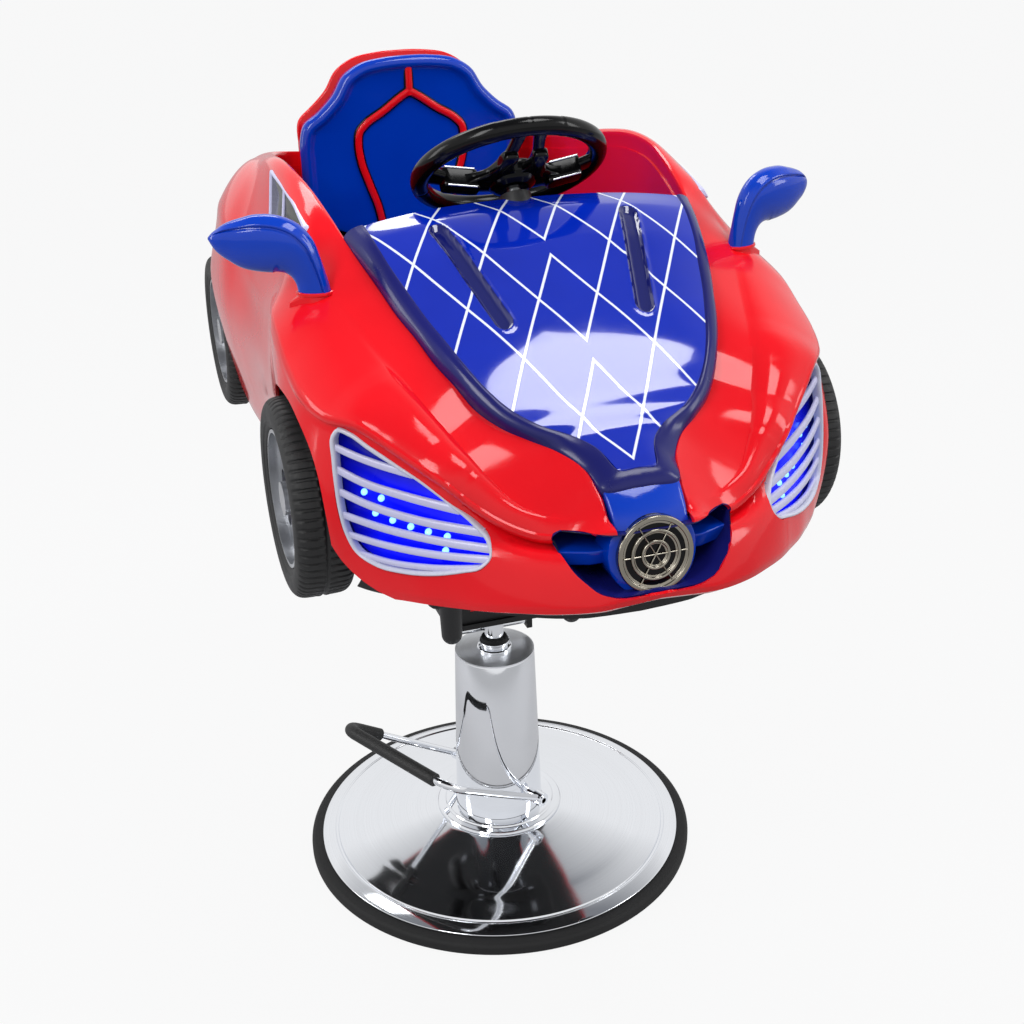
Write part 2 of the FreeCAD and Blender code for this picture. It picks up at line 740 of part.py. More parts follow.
def make_undercar():
    """Seat plate with its rod socket and two lugs, cross bar, bolts, and the riser that carries the car."""
    plate = box((-seat_plate_half_width, seat_plate_front, seat_plate_low),
                (seat_plate_half_width, seat_plate_back, seat_plate_high))
    rod_room = rod_radius + running_fit
    rod_hole = cylinder(rod_room, seat_plate_low - overrun, seat_plate_high + overrun)
    plate = plate.cut(rod_hole)
    bolts = []
    for x in (-1, 1):
        for y in (seat_plate_front + plate_bolt_inset, seat_plate_back - plate_bolt_inset):
            spot_x = x * (seat_plate_half_width - plate_bolt_inset)
            head_low = seat_plate_low - plate_bolt_head
            shank = cylinder(plate_bolt_radius, seat_plate_low, seat_plate_high, spot_x, y)
            head = cylinder(plate_bolt_head_radius, head_low, seat_plate_low, spot_x, y)
            bolts.append(shank.fuse(head))
            plate = plate.cut(shank)
    socket = tube(socket_radius, rod_room, seat_plate_high, rod_top)
    plate = plate.fuse(socket).fuse(cylinder(socket_radius, rod_top, rod_top + seat_plate_thickness))
    for side in (-1, 1):
        middle = side * tie_bar_half_length
        bottom = tie_bar_height - tie_lug_half_depth
        lug_low = (middle - tie_lug_half_width, tie_bar_place - tie_lug_half_depth, bottom)
        lug_high = (middle + tie_lug_half_width, tie_bar_place + tie_lug_half_depth, seat_plate_low)
        plate = plate.fuse(box(lug_low, lug_high))
    tie_end = vec(tie_bar_half_length + tie_lug_half_width, 0)
    tie_middle = vec(0, tie_bar_place, tie_bar_height)
    tie = bar(tie_middle - tie_end, tie_middle + tie_end, tie_bar_radius)
    save("tie_bar", tie)
    save("seat_plate", plate.cut(tie).removeSplitter())
    save("plate_bolts", Part.makeCompound(bolts))
    save("riser_box", frustum(0.0).cut(frustum(riser_wall)))


def frustum(inset):
    """Box that widens towards the front as it rises, drawn in by an inset."""
    wires = []
    for height, front in ((seat_plate_high, riser_bottom_front), (tub_low, riser_top_front)):
        x = riser_half_width - inset
        corners = ((-x, front + inset), (x, front + inset), (x, riser_back - inset), (-x, riser_back - inset))
        wires.append(polygon_wire([vec(*corner, height) for corner in corners]))
    return Part.makeLoft(wires, True, True)


def make_floor():
    """Black underbody: a tray with a deep footwell and brackets for the stub axles, and four feet."""
    edge = []
    for x_share, y_share in plan_shares:
        reach = nose_reach * level_shares[0][2] if y_share < 0 else tail_reach * level_shares[0][3]
        width = body_half_width * level_shares[0][1]
        edge.append((x_share * (width - tray_inset), y_share * (reach - tray_inset)))
    tray = plan_prism(edge, body_bottom, tray_high)
    well_low = (-tub_half_width, tub_front, tub_low)
    well_high = (tub_half_width, tub_back, tray_high)
    hollow = box((-tub_half_width + tub_wall, tub_front + tub_wall, tub_low + tub_wall),
                 (tub_half_width - tub_wall, tub_back - tub_wall, tray_high + overrun))
    tray = tray.fuse(box(well_low, well_high)).cut(hollow)
    for arch in wheel_arches():
        tray = tray.cut(arch)
    feet = []
    centre = foot_low + foot_low_radius
    for x in (-foot_place_x, foot_place_x):
        for y, top in ((foot_place_front, tub_low), (foot_place_back, body_bottom)):
            foot = Part.makeSphere(foot_low_radius, vec(x, y, centre))
            leg = Part.makeCone(foot_low_radius, foot_high_radius, top - centre, vec(x, y, centre), AXIS_Z)
            feet.append(foot.fuse(leg).cut(tray).removeSplitter())
    save("floor_feet", Part.makeCompound(feet))
    stubs = []
    bracket_room = body_block(tray_inset, 0.0, overrun)
    for name, side, outer, y in wheel_places():
        stub_end = side * (outer - tyre_width / 2 + cap_place() - clear_gap)
        bracket_x = outer - tyre_width - wheel_room - axle_bracket_width
        stubs.append(bar(vec(side * bracket_x, y, axle_height), vec(stub_end, y, axle_height), axle_radius))
        ends = sorted((side * bracket_x, side * (bracket_x + axle_bracket_width)))
        low = (ends[0], y - axle_bracket_width, body_bottom)
        high = (ends[1], y + axle_bracket_width, axle_height + axle_bracket_width)
        tray = tray.fuse(box(low, high).common(bracket_room)).cut(stubs[-1])
    save("stub_axles", Part.makeCompound(stubs))
    save("floor_tray", tray.removeSplitter())
    length, depth, height = battery_size
    save("battery_pack", box((-length / 2, battery_place - depth / 2, tray_high),
                             (length / 2, battery_place + depth / 2, tray_high + height)))


def cap_place():
    """Distance of the hub cap's inner face from the middle plane of its wheel."""
    return tyre_width / 2 * rim_disc_share + rim_disc / 2


def wheel_places():
    """Name, side, outer face, place along the car, for each wheel."""
    places = []
    for end, y, outer in (("front", axle_front, tyre_outer_front), ("rear", axle_rear, tyre_outer_rear)):
        for name, side in (("right", -1), ("left", 1)):
            places.append((end + "_" + name, side, outer, y))
    return places


def wheel_arches():
    arches = []
    for name, side, outer, y in wheel_places():
        start = side * (outer - tyre_width - wheel_room)
        way = vec(side, 0)
        arches.append(Part.makeCylinder(arch_radius, tyre_width * 2, vec(start, y, axle_height), way))
    return arches


def lamp_frame():
    """Centre, tangent and outward way of the lamp on the +X side."""
    way = heading(-lamp_heading)
    tangent = heading(90 - lamp_heading)
    centre = way * lamp_plane + tangent * lamp_centre_u + vec(0, 0, lamp_centre_z)
    return centre, tangent, way


def lamp_prism(shrink, inner, outer):
    """Prism on the lamp's outline, drawn in by a width, between two depths from its plane."""
    centre, tangent, way = lamp_frame()
    points = []
    for across, up in lamp_shares:
        points.append(centre + tangent * (across * (lamp_half_width - shrink))
                      + vec(0, 0, up * (lamp_half_height - shrink)) + way * inner)
    edge = spline(points + [points[0]])
    return Part.Face(Part.Wire([edge])).extrude(way * (outer - inner))


def make_lamps(bumper_block):
    """Housing, LED board, blue lens and silver louvres of the two headlamps."""
    centre, tangent, way = lamp_frame()
    room = 2 * lamp_pocket
    housing = lamp_prism(clear_gap, -lamp_pocket, room).common(bumper_block)
    housing = housing.cut(lamp_prism(lamp_wall, -lamp_pocket + lamp_wall, room))
    save("lamp_housings", with_mirror(housing))
    board_low = -lamp_pocket + lamp_wall
    board = lamp_prism(lamp_wall + clear_gap, board_low, board_low + lamp_board)
    save("lamp_boards", with_mirror(board))
    lens_high = -lamp_lens_depth
    lens = lamp_prism(lamp_wall + clear_gap, lens_high - lamp_lens, lens_high)
    save("lamp_lenses", with_mirror(lens))
    bezel = lamp_prism(lamp_wall + clear_gap, lens_high, lens_high + lamp_louvre_depth)
    window = lamp_prism(lamp_wall + lamp_bezel_width, lens_high, lens_high + lamp_louvre_depth)
    bars = []
    for number in range(lamp_louvres):
        rise = (number - (lamp_louvres - 1) / 2) * lamp_louvre_spacing
        low = box((-lamp_half_width * 2, 0, rise - lamp_louvre_width / 2),
                  (lamp_half_width * 2, lamp_louvre_depth, rise + lamp_louvre_width / 2))
        low.rotate(vec(0, 0), AXIS_Y, -lamp_louvre_slope)
        low.rotate(vec(0, 0), AXIS_Z, 90 - lamp_heading)
        low.translate(centre + way * (lens_high + lamp_louvre_depth))
        bars.append(low)
    louvres = bezel.cut(window)
    for louvre in bars:
        louvres = louvres.fuse(louvre.common(bezel))
    save("lamp_louvres", with_mirror(louvres.removeSplitter()))


def make_body():
    """Upper shell, front bumper, hood trim, hood panel, lamps, nose, windows and mirrors."""
    outer = body_block(0.0, 0.0)
    inner = body_block(body_wall, body_wall, overrun)
    under = body_bottom - overrun
    rim = plan_prism(grown_outline(rim_shares, 0.0), under, body_top + overrun)
    rim_wide = plan_prism(grown_outline(rim_shares, body_wall), under, body_top + overrun)
    rim_low = plan_prism(grown_outline(rim_shares, body_wall + clear_gap), under, tray_high + clear_gap)
    shell = outer.cut(rim).cut(inner.cut(rim_wide)).cut(rim_low)
    zone = box((-body_half_width - overrun, -nose_reach - overrun, body_bottom - overrun),
               (body_half_width + overrun, axle_front, body_top))
    lower_zone = zone.cut(side_slab(body_wall, -lip_depth))
    shell = shell.cut(lower_zone)
    for arch in wheel_arches():
        shell = shell.cut(arch)
    bumper_block = body_block(bumper_setback, 0.0)
    bumper_hollow = body_block(bumper_setback + body_wall, -overrun, overrun)
    lower_room = zone.cut(side_slab(body_wall, -lip_depth - clear_gap))
    bumper = bumper_block.cut(bumper_hollow).common(lower_room)
    for arch in wheel_arches():
        bumper = bumper.cut(arch)
    lamp_hole = lamp_prism(0.0, -lamp_pocket * 2, lamp_pocket * 2)
    bumper = bumper.cut(lamp_hole).cut(mirrored(lamp_hole))
    shell = shell.cut(lamp_hole).cut(mirrored(lamp_hole))
    make_lamps(bumper_block)
    recess = box((-recess_half_width, -nose_reach - overrun, recess_low),
                 (recess_half_width, recess_back, recess_high))
    bumper = bumper.cut(recess)
    nose_zone = nose_prism(0.0)
    bumper = bumper.cut(nose_prism(clear_gap))
    window = window_prism(0.0)
    shell = shell.cut(window).cut(mirrored(window)).cut(nose_prism(clear_gap))
    for pedestal in (mirror_pedestal(), mirrored(mirror_pedestal())):
        shell = shell.fuse(pedestal)
    save("body_shell", keep_large(shell.removeSplitter()))
    save("front_bumper", keep_large(bumper))
    make_nose(bumper_block, recess, nose_zone)
    make_windows(outer)
    make_hood()
    make_mirrors(outer)


def keep_large(shape):
    """Drop slivers that a cut leaves behind."""
    largest = max(solid.Volume for solid in shape.Solids)
    kept = [solid for solid in shape.Solids if solid.Volume > largest * sliver_share]
    return kept[0] if len(kept) == 1 else Part.makeCompound(kept)


def nose_prism(growth):
    """Upright nose panel zone in front view, with a round boss where the grille sits."""
    half = nose_panel_half_width + growth
    low = grille_height - nose_boss_radius * nose_boss_low_share
    zone = box((-half, -nose_reach, low), (half, recess_back, nose_panel_top + growth))
    boss = Part.makeCylinder(nose_boss_radius + growth, nose_reach + recess_back,
                             vec(0, -nose_reach, grille_height), AXIS_Y)
    return zone.fuse(boss)


def make_nose(bumper_block, recess, nose_zone):
    """Blue nose panel, dark recess pan with its two bars, and the round ringed grille."""
    boss_front = grille_front + grille_depth
    lean = nose_boss_radius * math.tan(math.radians(grille_tilt))
    boss_high = nose_boss_radius * nose_boss_high_share
    side = [vec(0, boss_front - lean, grille_height - nose_boss_radius),
            vec(0, boss_front + lean * nose_boss_high_share, grille_height + boss_high),
            vec(0, nose_panel_top_front, nose_panel_top),
            vec(0, recess_back, nose_panel_top),
            vec(0, recess_back, grille_height - nose_boss_radius)]
    face = Part.Face(polygon_wire(side))
    face.translate(vec(-nose_boss_radius, 0))
    panel = face.extrude(vec(2 * nose_boss_radius, 0)).common(nose_zone)
    save("nose_panel", keep_large(panel))
    pan = box((-recess_half_width + clear_gap, -nose_reach, recess_low + clear_gap),
              (recess_half_width - clear_gap, recess_back, recess_high - clear_gap))
    hollow = box((-recess_half_width + recess_wall, -nose_reach, recess_low + recess_wall),
                 (recess_half_width - recess_wall, recess_back - recess_wall, recess_high - recess_wall))
    top_room = side_slab(body_wall, -lip_depth - clear_gap)
    pan = pan.cut(hollow).common(bumper_block).cut(top_room).cut(nose_prism(clear_gap))
    for way in (-1, 1):
        ends = sorted((way * (nose_boss_radius + clear_gap), way * (recess_half_width - recess_wall)))
        pan = pan.fuse(box((ends[0], bar_front, bar_height - bar_half_height),
                           (ends[1], recess_back - recess_wall, bar_height + bar_half_height)))
    save("grille_recess", keep_large(pan.removeSplitter()))
    rings = None
    for share in grille_ring_shares:
        radius = grille_radius * share
        ring = tube(radius, radius - grille_ring_width, 0.0, grille_depth)
        rings = ring if rings is None else rings.fuse(ring)
    for number in range(grille_spokes):
        spoke_end = grille_radius * grille_ring_shares[0] - grille_ring_width / 2
        spoke = box((0, -grille_spoke_width / 2, 0), (spoke_end, grille_spoke_width / 2, grille_spoke_depth))
        spoke.rotate(vec(0, 0), AXIS_Z, number * 360 / grille_spokes + grille_first_spoke)
        rings = rings.fuse(spoke)
    rings = rings.fuse(Part.makeCylinder(grille_hub_radius, grille_spoke_depth)).removeSplitter()
    rings.rotate(vec(0, 0), AXIS_X, 90 - grille_tilt)
    rings.translate(vec(0, boss_front, grille_height))
    save("round_grille", rings)


def window_prism(shrink):
    """Three-cornered prism through the side wall where the quarter window sits."""
    corners = [vec(window_face, window_front + shrink * window_point_share, window_front_height),
               vec(window_face, window_back - shrink, window_high - shrink),
               vec(window_face, window_back - shrink * window_corner_share, window_low + shrink)]
    return Part.Face(polygon_wire(corners)).extrude(vec(body_half_width - window_face, 0))


def make_windows(outer):
    """Silver frames and dark panes of the two quarter windows, flush with the body."""
    skin = outer.cut(body_block(body_wall, -overrun, overrun))
    frame = window_prism(clear_gap).common(skin).cut(window_prism(window_frame_width))
    save("window_frames", with_mirror(keep_large(frame)))
    glass_skin = body_block(window_glass_drop, 0.0).cut(body_block(body_wall, -overrun, overrun))
    glass = window_prism(window_frame_width + clear_gap / 2).common(glass_skin)
    save("window_panes", with_mirror(keep_large(glass)))


def slot_tool(widen):
    """Long round-ended rod that lies in the hood's surface on the +X side."""
    front = vec(*slot_front, hood_height(*slot_front))
    back = vec(*slot_back, hood_height(*slot_back))
    radius = slot_radius + widen
    return bar(front, back, radius).fuse(Part.makeSphere(radius, front)).fuse(Part.makeSphere(radius, back))


def trim_band():
    """Solid under a sloping band round the hood, from the rim's height up to the panel's, widened by
    a share of its own width on both sides."""
    low_line, high_line = [], []
    for low_shares, high_shares in zip(trim_low_shares, trim_high_shares):
        low = vec(low_shares[0] * body_half_width, low_shares[1] * nose_reach,
                  body_bottom + low_shares[2] * (body_top - body_bottom))
        high = vec(high_shares[0] * body_half_width, high_shares[1] * nose_reach)
        high.z = hood_height(high.x, high.y)
        reach = (low - high) * trim_widen_share
        low_line.append(low + reach)
        high_line.append(high - reach)
    edges = []
    for line in (low_line, high_line):
        left = [vec(-point.x, point.y, point.z) for point in reversed(line)]
        edges.append(spline(left + line))
    return Part.makeRuledSurface(*edges).extrude(vec(0, 0, -trim_depth))


def hood_trim_solid():
    """Border between the body's inner rim and the hood panel, cut out over the nose panel."""
    cowl = steering_bar(cowl_radius + clear_gap, cowl_near - overrun, cowl_far + overrun)
    front_zone = box((-body_half_width, -nose_reach, body_bottom), (body_half_width, trim_back, body_top))
    ring = plan_prism(grown_outline(rim_shares, -clear_gap), body_bottom, body_top)
    hole = plan_prism(grown_outline(panel_shares, clear_gap), body_bottom, body_top)
    trim = ring.cut(hole).common(front_zone).common(trim_band())
    return keep_large(trim.cut(cowl).cut(nose_prism(clear_gap)))


def make_hood():
    """Dark sloping trim round the hood opening, and the raised blue panel with its two hollow slots."""
    save("hood_trim", hood_trim_solid())
    cowl = steering_bar(cowl_radius + clear_gap, cowl_near - overrun, cowl_far + overrun)
    panel = plan_prism(grown_outline(panel_shares, 0.0), body_bottom, body_top)
    panel = panel.common(hood_slab(0.0, -panel_thickness))
    slot_room = hood_slab(0.0, -slot_radius * 2)
    for side in (slot_tool(0.0), mirrored(slot_tool(0.0))):
        panel = panel.fuse(side.common(slot_room))
    for side in (slot_tool(-slot_wall), mirrored(slot_tool(-slot_wall))):
        panel = panel.cut(side)
    save("hood_panel", keep_large(panel.cut(cowl).cut(nose_prism(clear_gap)).removeSplitter()))


def spheroid(centre, half_length, radius):
    """Ball stretched along X."""
    stretch = FreeCAD.Matrix()
    stretch.scale(half_length, radius, radius)
    ball = Part.makeSphere(1).transformGeometry(stretch)
    ball.translate(centre)
    return ball


def mirror_pedestal():
    """Short round stump on the fender that carries a mirror."""
    root = vec(*mirror_root)
    return cylinder(mirror_pedestal_radius, root.z - mirror_pedestal_height, root.z, root.x, root.y)


def make_mirrors(outer):
    """Blue mirror shells on short stalks, with a small mirror glass in the back of each."""
    shells = []
    glasses = []
    for side in (-1, 1):
        root = vec(side * mirror_root[0], mirror_root[1], mirror_root[2])
        centre = vec(side * mirror_head[0], mirror_head[1], mirror_head[2])
        head = spheroid(centre, mirror_half_length, mirror_radius)
        stalk_end = centre - vec(side * mirror_half_length * mirror_stalk_share, 0)
        face_y = centre.y + mirror_radius * mirror_face_share
        room = 2 * mirror_half_length
        back = box((centre.x - room, face_y, centre.z - room),
                   (centre.x + room, face_y + room, centre.z + room))
        glass_slab = box((centre.x - room, face_y, centre.z - room),
                         (centre.x + room, face_y + mirror_glass, centre.z + room))
        foot_room = cylinder(mirror_pedestal_radius * 2, root.z - mirror_half_length, root.z, root.x, root.y)
        stalk = bar(root, stalk_end, mirror_stalk_radius).cut(foot_room).cut(outer)
        shells += [head.cut(back), keep_large(stalk.cut(head))]
        glasses.append(head.common(glass_slab))
    save("mirror_shells", Part.makeCompound(shells))
    save("mirror_glasses", Part.makeCompound(glasses))


def seat_outline(shrink):
    """Front view of the seat back from its foot up, as a half outline of (x, z)."""
    return [(across * (seat_half_width - shrink), seat_pan_low + up * (seat_back_top - shrink - seat_pan_low))
            for across, up in seat_back_shares]


def seat_back_solid(shrink, front, back):
    half = seat_outline(shrink)
    right = [vec(x, front, z) for x, z in half[1:]]
    left = [vec(-x, front, z) for x, z in reversed(half[1:])]
    edges = [spline(right), spline(left), straight(left[-1], right[0])]
    return Part.Face(Part.Wire(edges)).extrude(vec(0, back - front))


def make_seat():
    """Blue bucket seat, its red backing and inlaid strips, and the box that it stands on."""
    back_rear = seat_back_front + seat_back_thickness
    seat = seat_back_solid(0.0, seat_back_front, back_rear)
    pan_half = seat_half_width - bolster_inset
    seat = seat.fuse(box((-pan_half, seat_front, seat_pan_low), (pan_half, back_rear, seat_pan_high)))
    for side in (-1, 1):
        ends = sorted((side * pan_half, side * (pan_half - bolster_width)))
        seat = seat.fuse(box((ends[0], seat_front + bolster_width, seat_pan_low),
                             (ends[1], back_rear, seat_pan_high + bolster_rise)))
    strips = strip_solid()
    seat = seat.cut(strips)
    save("seat_shell", seat.removeSplitter())
    save("seat_strips", strips)
    save("seat_backing", seat_back_solid(-backing_overhang, back_rear, back_rear + backing_thickness))
    half = seat_support_half_width
    support = box((-half, seat_support_front, tray_high), (half, back_rear, seat_pan_low))
    wall = seat_support_wall
    support = support.cut(box((-half + wall, seat_support_front + wall, tray_high - overrun),
                              (half - wall, back_rear - wall, seat_pan_low - wall)))
    save("seat_support", support)


def strip_solid():
    """Red strip that comes down from the head, forks, and runs down both sides of the back."""
    front = seat_back_front - seat_strip_rise
    depth = seat_strip_rise + seat_strip_depth
    height = seat_back_top - seat_pan_low
    strips = None
    for side in (-1, 1):
        spots = [(side * across * seat_half_width, seat_pan_low + up * height) for across, up in strip_shares]
        for start, end in zip(spots, spots[1:]):
            run = math.hypot(end[0] - start[0], end[1] - start[1])
            piece = box((0, 0, -seat_strip_width / 2), (run, depth, seat_strip_width / 2))
            joint = Part.makeCylinder(seat_strip_width / 2, depth, vec(run, 0), AXIS_Y)
            piece = piece.fuse(joint)
            angle = math.degrees(math.atan2(end[1] - start[1], end[0] - start[0]))
            piece.rotate(vec(0, 0), AXIS_Y, -angle)
            piece.translate(vec(start[0], front, start[1]))
            strips = piece if strips is None else strips.fuse(piece)
    return strips.removeSplitter()


def steering_point(along):
    """Point on the steering axis, some way down from the middle of the wheel."""
    tilt = math.radians(wheel_tilt)
    return vec(*wheel_centre) - vec(0, math.sin(tilt), math.cos(tilt)) * along


def steering_bar(radius, near, far):
    return bar(steering_point(near), steering_point(far), radius)


def tilted(shape):
    """Turn a shape from the wheel's own frame to its place above the hood."""
    moved = shape.copy()
    moved.rotate(vec(0, 0), AXIS_X, -wheel_tilt)
    moved.translate(vec(*wheel_centre))
    return moved


def make_steering():
    """Steering wheel with bright inserts, horn button, shaft, bush and dashboard with its cowl."""
    major = wheel_radius - wheel_grip_radius
    wheel = Part.makeTorus(major, wheel_grip_radius)
    hub_high = -wheel_dish + wheel_hub_depth / 2
    wheel = wheel.fuse(cylinder(wheel_hub_radius, hub_high - wheel_hub_depth, hub_high))
    spoke_high = -wheel_dish + spoke_depth
    for spoke_heading, width_share, step_share in spoke_plan:
        half = spoke_half_width * width_share
        step = wheel_hub_radius * step_share
        spoke = box((0, step - half, spoke_high - spoke_depth), (major, step + half, spoke_high))
        spoke.rotate(vec(0, 0), AXIS_Z, spoke_heading)
        wheel = wheel.fuse(spoke)
    horn_floor = hub_high - horn_depth
    wheel = wheel.cut(cylinder(horn_radius + clear_gap, horn_floor, hub_high + overrun))
    shaft = cylinder(steering_shaft_radius, -steering_shaft_length, hub_high - horn_depth - wide_gap)
    wheel = wheel.cut(shaft)
    inserts = []
    for side in (-1, 1):
        ends = sorted((side * insert_inner, side * insert_outer))
        inserts.append(box((ends[0], -insert_half_width, spoke_high),
                           (ends[1], insert_half_width, spoke_high + insert_depth)))
    save("steering_wheel", tilted(wheel.removeSplitter()))
    save("wheel_inserts", tilted(Part.makeCompound(inserts)))
    save("steering_shaft", tilted(shaft))
    horn_low = horn_floor + horn_travel + clear_gap
    save("horn_button", tilted(cylinder(horn_radius, horn_low, horn_low + horn_depth)))
    bush_near = cowl_near
    bush = steering_bar(cowl_bore_radius, bush_near, bush_near + bush_length)
    bush = bush.cut(steering_bar(steering_shaft_radius + running_fit, 0, steering_shaft_length * 2))
    save("column_bush", bush)
    dash = box((-dash_half_width, dash_front, dash_low),
               (dash_half_width, dash_front + dash_thickness, body_top))
    dash = dash.common(hood_slab(-panel_thickness, dash_low - body_top))
    dash = dash.cut(hood_trim_solid()).fuse(steering_bar(cowl_radius, cowl_near, cowl_far))
    dash = dash.cut(steering_bar(cowl_bore_radius, cowl_near - overrun, steering_shaft_length + wide_gap))
    save("dashboard", dash.removeSplitter())


def make_wheels():
    """Four wheels, each a grooved tyre on a spoked rim that has a closed hub cap."""
    half = tyre_width / 2
    outline = [(rim_radius, half * tyre_bead_share)]
    for radius_share, width_share in tyre_section_shares:
        outline.append((tyre_radius * radius_share, half * width_share))
    tyre = revolved(outline + [(radius, -height) for radius, height in reversed(outline)])
    for number in range(tread_grooves):
        low = (number - (tread_grooves - 1) / 2) * half * tread_pitch_share - tread_groove_width / 2
        groove = tube(tyre_radius + overrun, tyre_radius - tread_groove, low, low + tread_groove_width)
        tyre = tyre.cut(groove)
    rim = tube(rim_radius, rim_radius - rim_lip, -half * tyre_bead_share, half * tyre_bead_share)
    disc_high = half * rim_disc_share
    disc_low = disc_high - rim_disc
    rim = rim.fuse(cylinder(rim_radius - rim_lip, disc_low, disc_high))
    rim = rim.fuse(cylinder(hub_radius, -half * rim_hub_share, cap_place()))
    for number in range(rim_spokes):
        spot = heading(number * 360 / rim_spokes) * rim_hole_circle
        rim = rim.cut(cylinder(rim_hole_radius, disc_low - overrun, disc_high + overrun, spot.x, spot.y))
    rim = rim.cut(cylinder(axle_radius + running_fit, -half, cap_place()))
    rim = rim.fuse(cylinder(hub_cap_radius, cap_place(), cap_place() + hub_cap_depth)).removeSplitter()
    for name, side, outer, y in wheel_places():
        for piece, shape in (("tyre", tyre), ("rim", rim)):
            moved = shape.copy()
            moved.rotate(vec(0, 0), AXIS_Y, 90 * side)
            moved.translate(vec(side * (outer - half), y, axle_height))
            save(piece + "_" + name, moved)


os.makedirs("parts", exist_ok=True)
make_base()
make_column()
make_pump()
make_pedal()
make_undercar()
make_floor()
make_wheels()
make_seat()
make_steering()
make_body()
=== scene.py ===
"""A child's barber chair: a toy car body on a chrome pump column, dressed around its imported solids."""

import json
import math

import bmesh
import bpy
import numpy as np
from mathutils import Matrix, Vector


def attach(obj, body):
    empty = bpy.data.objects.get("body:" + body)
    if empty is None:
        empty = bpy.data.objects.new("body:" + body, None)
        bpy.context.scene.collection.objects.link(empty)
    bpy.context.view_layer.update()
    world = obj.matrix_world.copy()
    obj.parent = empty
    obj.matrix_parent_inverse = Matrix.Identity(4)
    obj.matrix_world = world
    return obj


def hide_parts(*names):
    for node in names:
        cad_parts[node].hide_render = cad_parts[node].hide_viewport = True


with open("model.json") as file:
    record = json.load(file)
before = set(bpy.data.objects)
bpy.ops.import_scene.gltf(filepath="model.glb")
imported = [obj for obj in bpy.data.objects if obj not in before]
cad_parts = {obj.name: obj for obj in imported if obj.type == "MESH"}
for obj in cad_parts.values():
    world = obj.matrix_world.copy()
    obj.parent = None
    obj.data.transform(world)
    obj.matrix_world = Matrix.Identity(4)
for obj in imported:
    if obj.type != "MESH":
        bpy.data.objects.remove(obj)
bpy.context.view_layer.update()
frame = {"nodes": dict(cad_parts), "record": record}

MM = 0.001
UP = np.array([0, 0, 1.0])
FLAT = np.array([1, 1, 0])
MIRRORED = np.array([-1.0, 1, 1])
NOSE_END = -460
RECESS_PLANE = -500
SEAT_BACK_PLANE = 322


# Curves and surfaces

def smooth(table, knots, at):
    """Cubic through the rows of a table at its knots: each row's slope is the mean of the two chords
    beside it, each weighted by the other's length."""
    table, knots = np.asarray(table, float), np.asarray(knots, float)
    shape = (-1,) + (1,) * (table.ndim - 1)
    step = np.diff(knots).reshape(shape)
    chord = np.diff(table, axis=0) / step
    inner = (chord[:-1] * step[1:] + chord[1:] * step[:-1]) / (step[1:] + step[:-1])
    slope = np.concatenate([chord[:1], inner, chord[-1:]])
    at = np.asarray(at, float)
    i = np.clip(np.searchsorted(knots, at, side="right") - 1, 0, len(knots) - 2)
    h = step[i]
    f = ((at - knots[i]) / np.diff(knots)[i]).reshape(shape)
    return (table[i] * (2 * f**3 - 3 * f**2 + 1) + slope[i] * h * (f**3 - 2 * f**2 + f)
            + table[i + 1] * (3 * f**2 - 2 * f**3) + slope[i + 1] * h * (f**3 - f**2))


def chords(points):
    """Distance along a row of points, from 0 at the first."""
    gaps = np.linalg.norm(np.diff(np.asarray(points, float), axis=0), axis=1)
    return np.concatenate([[0.0], np.cumsum(gaps)])


def through(points, count):
    """Smooth curve through points, sampled evenly along the chords."""
    knots = chords(points)
    return smooth(points, knots, np.linspace(0, knots[-1], count))


def loop_through(points, count):
    """Smooth closed curve through points, sampled evenly along the chords."""
    points = np.asarray(points, float)
    wide = np.concatenate([points[-3:], points, points[:3]])
    knots = chords(wide)
    first, last = knots[3], knots[3 + len(points)]
    return smooth(wide, knots, np.linspace(first, last, count, endpoint=False))


def eased(points, radius, steps=5, closed=False):
    """Straight runs whose corners turn on a parabola that starts a radius before the corner."""
    points = np.asarray(points, float)
    if closed:
        corner, before, after = points, np.roll(points, 1, axis=0), np.roll(points, -1, axis=0)
    else:
        corner, before, after = points[1:-1], points[:-2], points[2:]
    back, on = before - corner, after - corner
    back_length = np.linalg.norm(back, axis=1, keepdims=True)
    on_length = np.linalg.norm(on, axis=1, keepdims=True)
    cut = np.minimum(np.minimum(back_length, on_length) * 0.48,
                     np.broadcast_to(np.asarray(radius, float).reshape(-1, 1), back_length.shape))
    start = (corner + back / back_length * cut)[:, None]
    end = (corner + on / on_length * cut)[:, None]
    t = np.linspace(0, 1, steps)[None, :, None]
    curve = (1 - t)**2 * start + 2 * t * (1 - t) * corner[:, None] + t**2 * end
    curve = curve.reshape(-1, points.shape[1])
    return curve if closed else np.concatenate([points[:1], curve, points[-1:]])


def circle(count):
    """Angles at even steps once round, from 0."""
    return np.linspace(0, 2 * np.pi, count, endpoint=False)


def unit(v):
    v = np.asarray(v, float)
    return v / np.linalg.norm(v, axis=-1, keepdims=True)


def across(axis):
    """Two unit vectors square to an axis and to each other."""
    axis = unit(axis)
    guide = np.array([1.0, 0, 0]) if abs(axis[0]) < 0.8 else np.array([0, 1.0, 0])
    first = unit(np.cross(axis, guide))
    return first, np.cross(axis, first)


def grid(points, wrap_rows=False, wrap_columns=False):
    """Quads over points laid out in rows and columns. A wrap joins the last row or column to the first."""
    rows, columns = points.shape[:2]
    index = np.arange(rows * columns).reshape(rows, columns)
    if wrap_rows:
        index = np.vstack([index, index[:1]])
    if wrap_columns:
        index = np.hstack([index, index[:, :1]])
    quads = np.stack([index[:-1, :-1], index[:-1, 1:], index[1:, 1:], index[1:, :-1]], axis=-1)
    return points.reshape(-1, 3), quads.reshape(-1, 4)


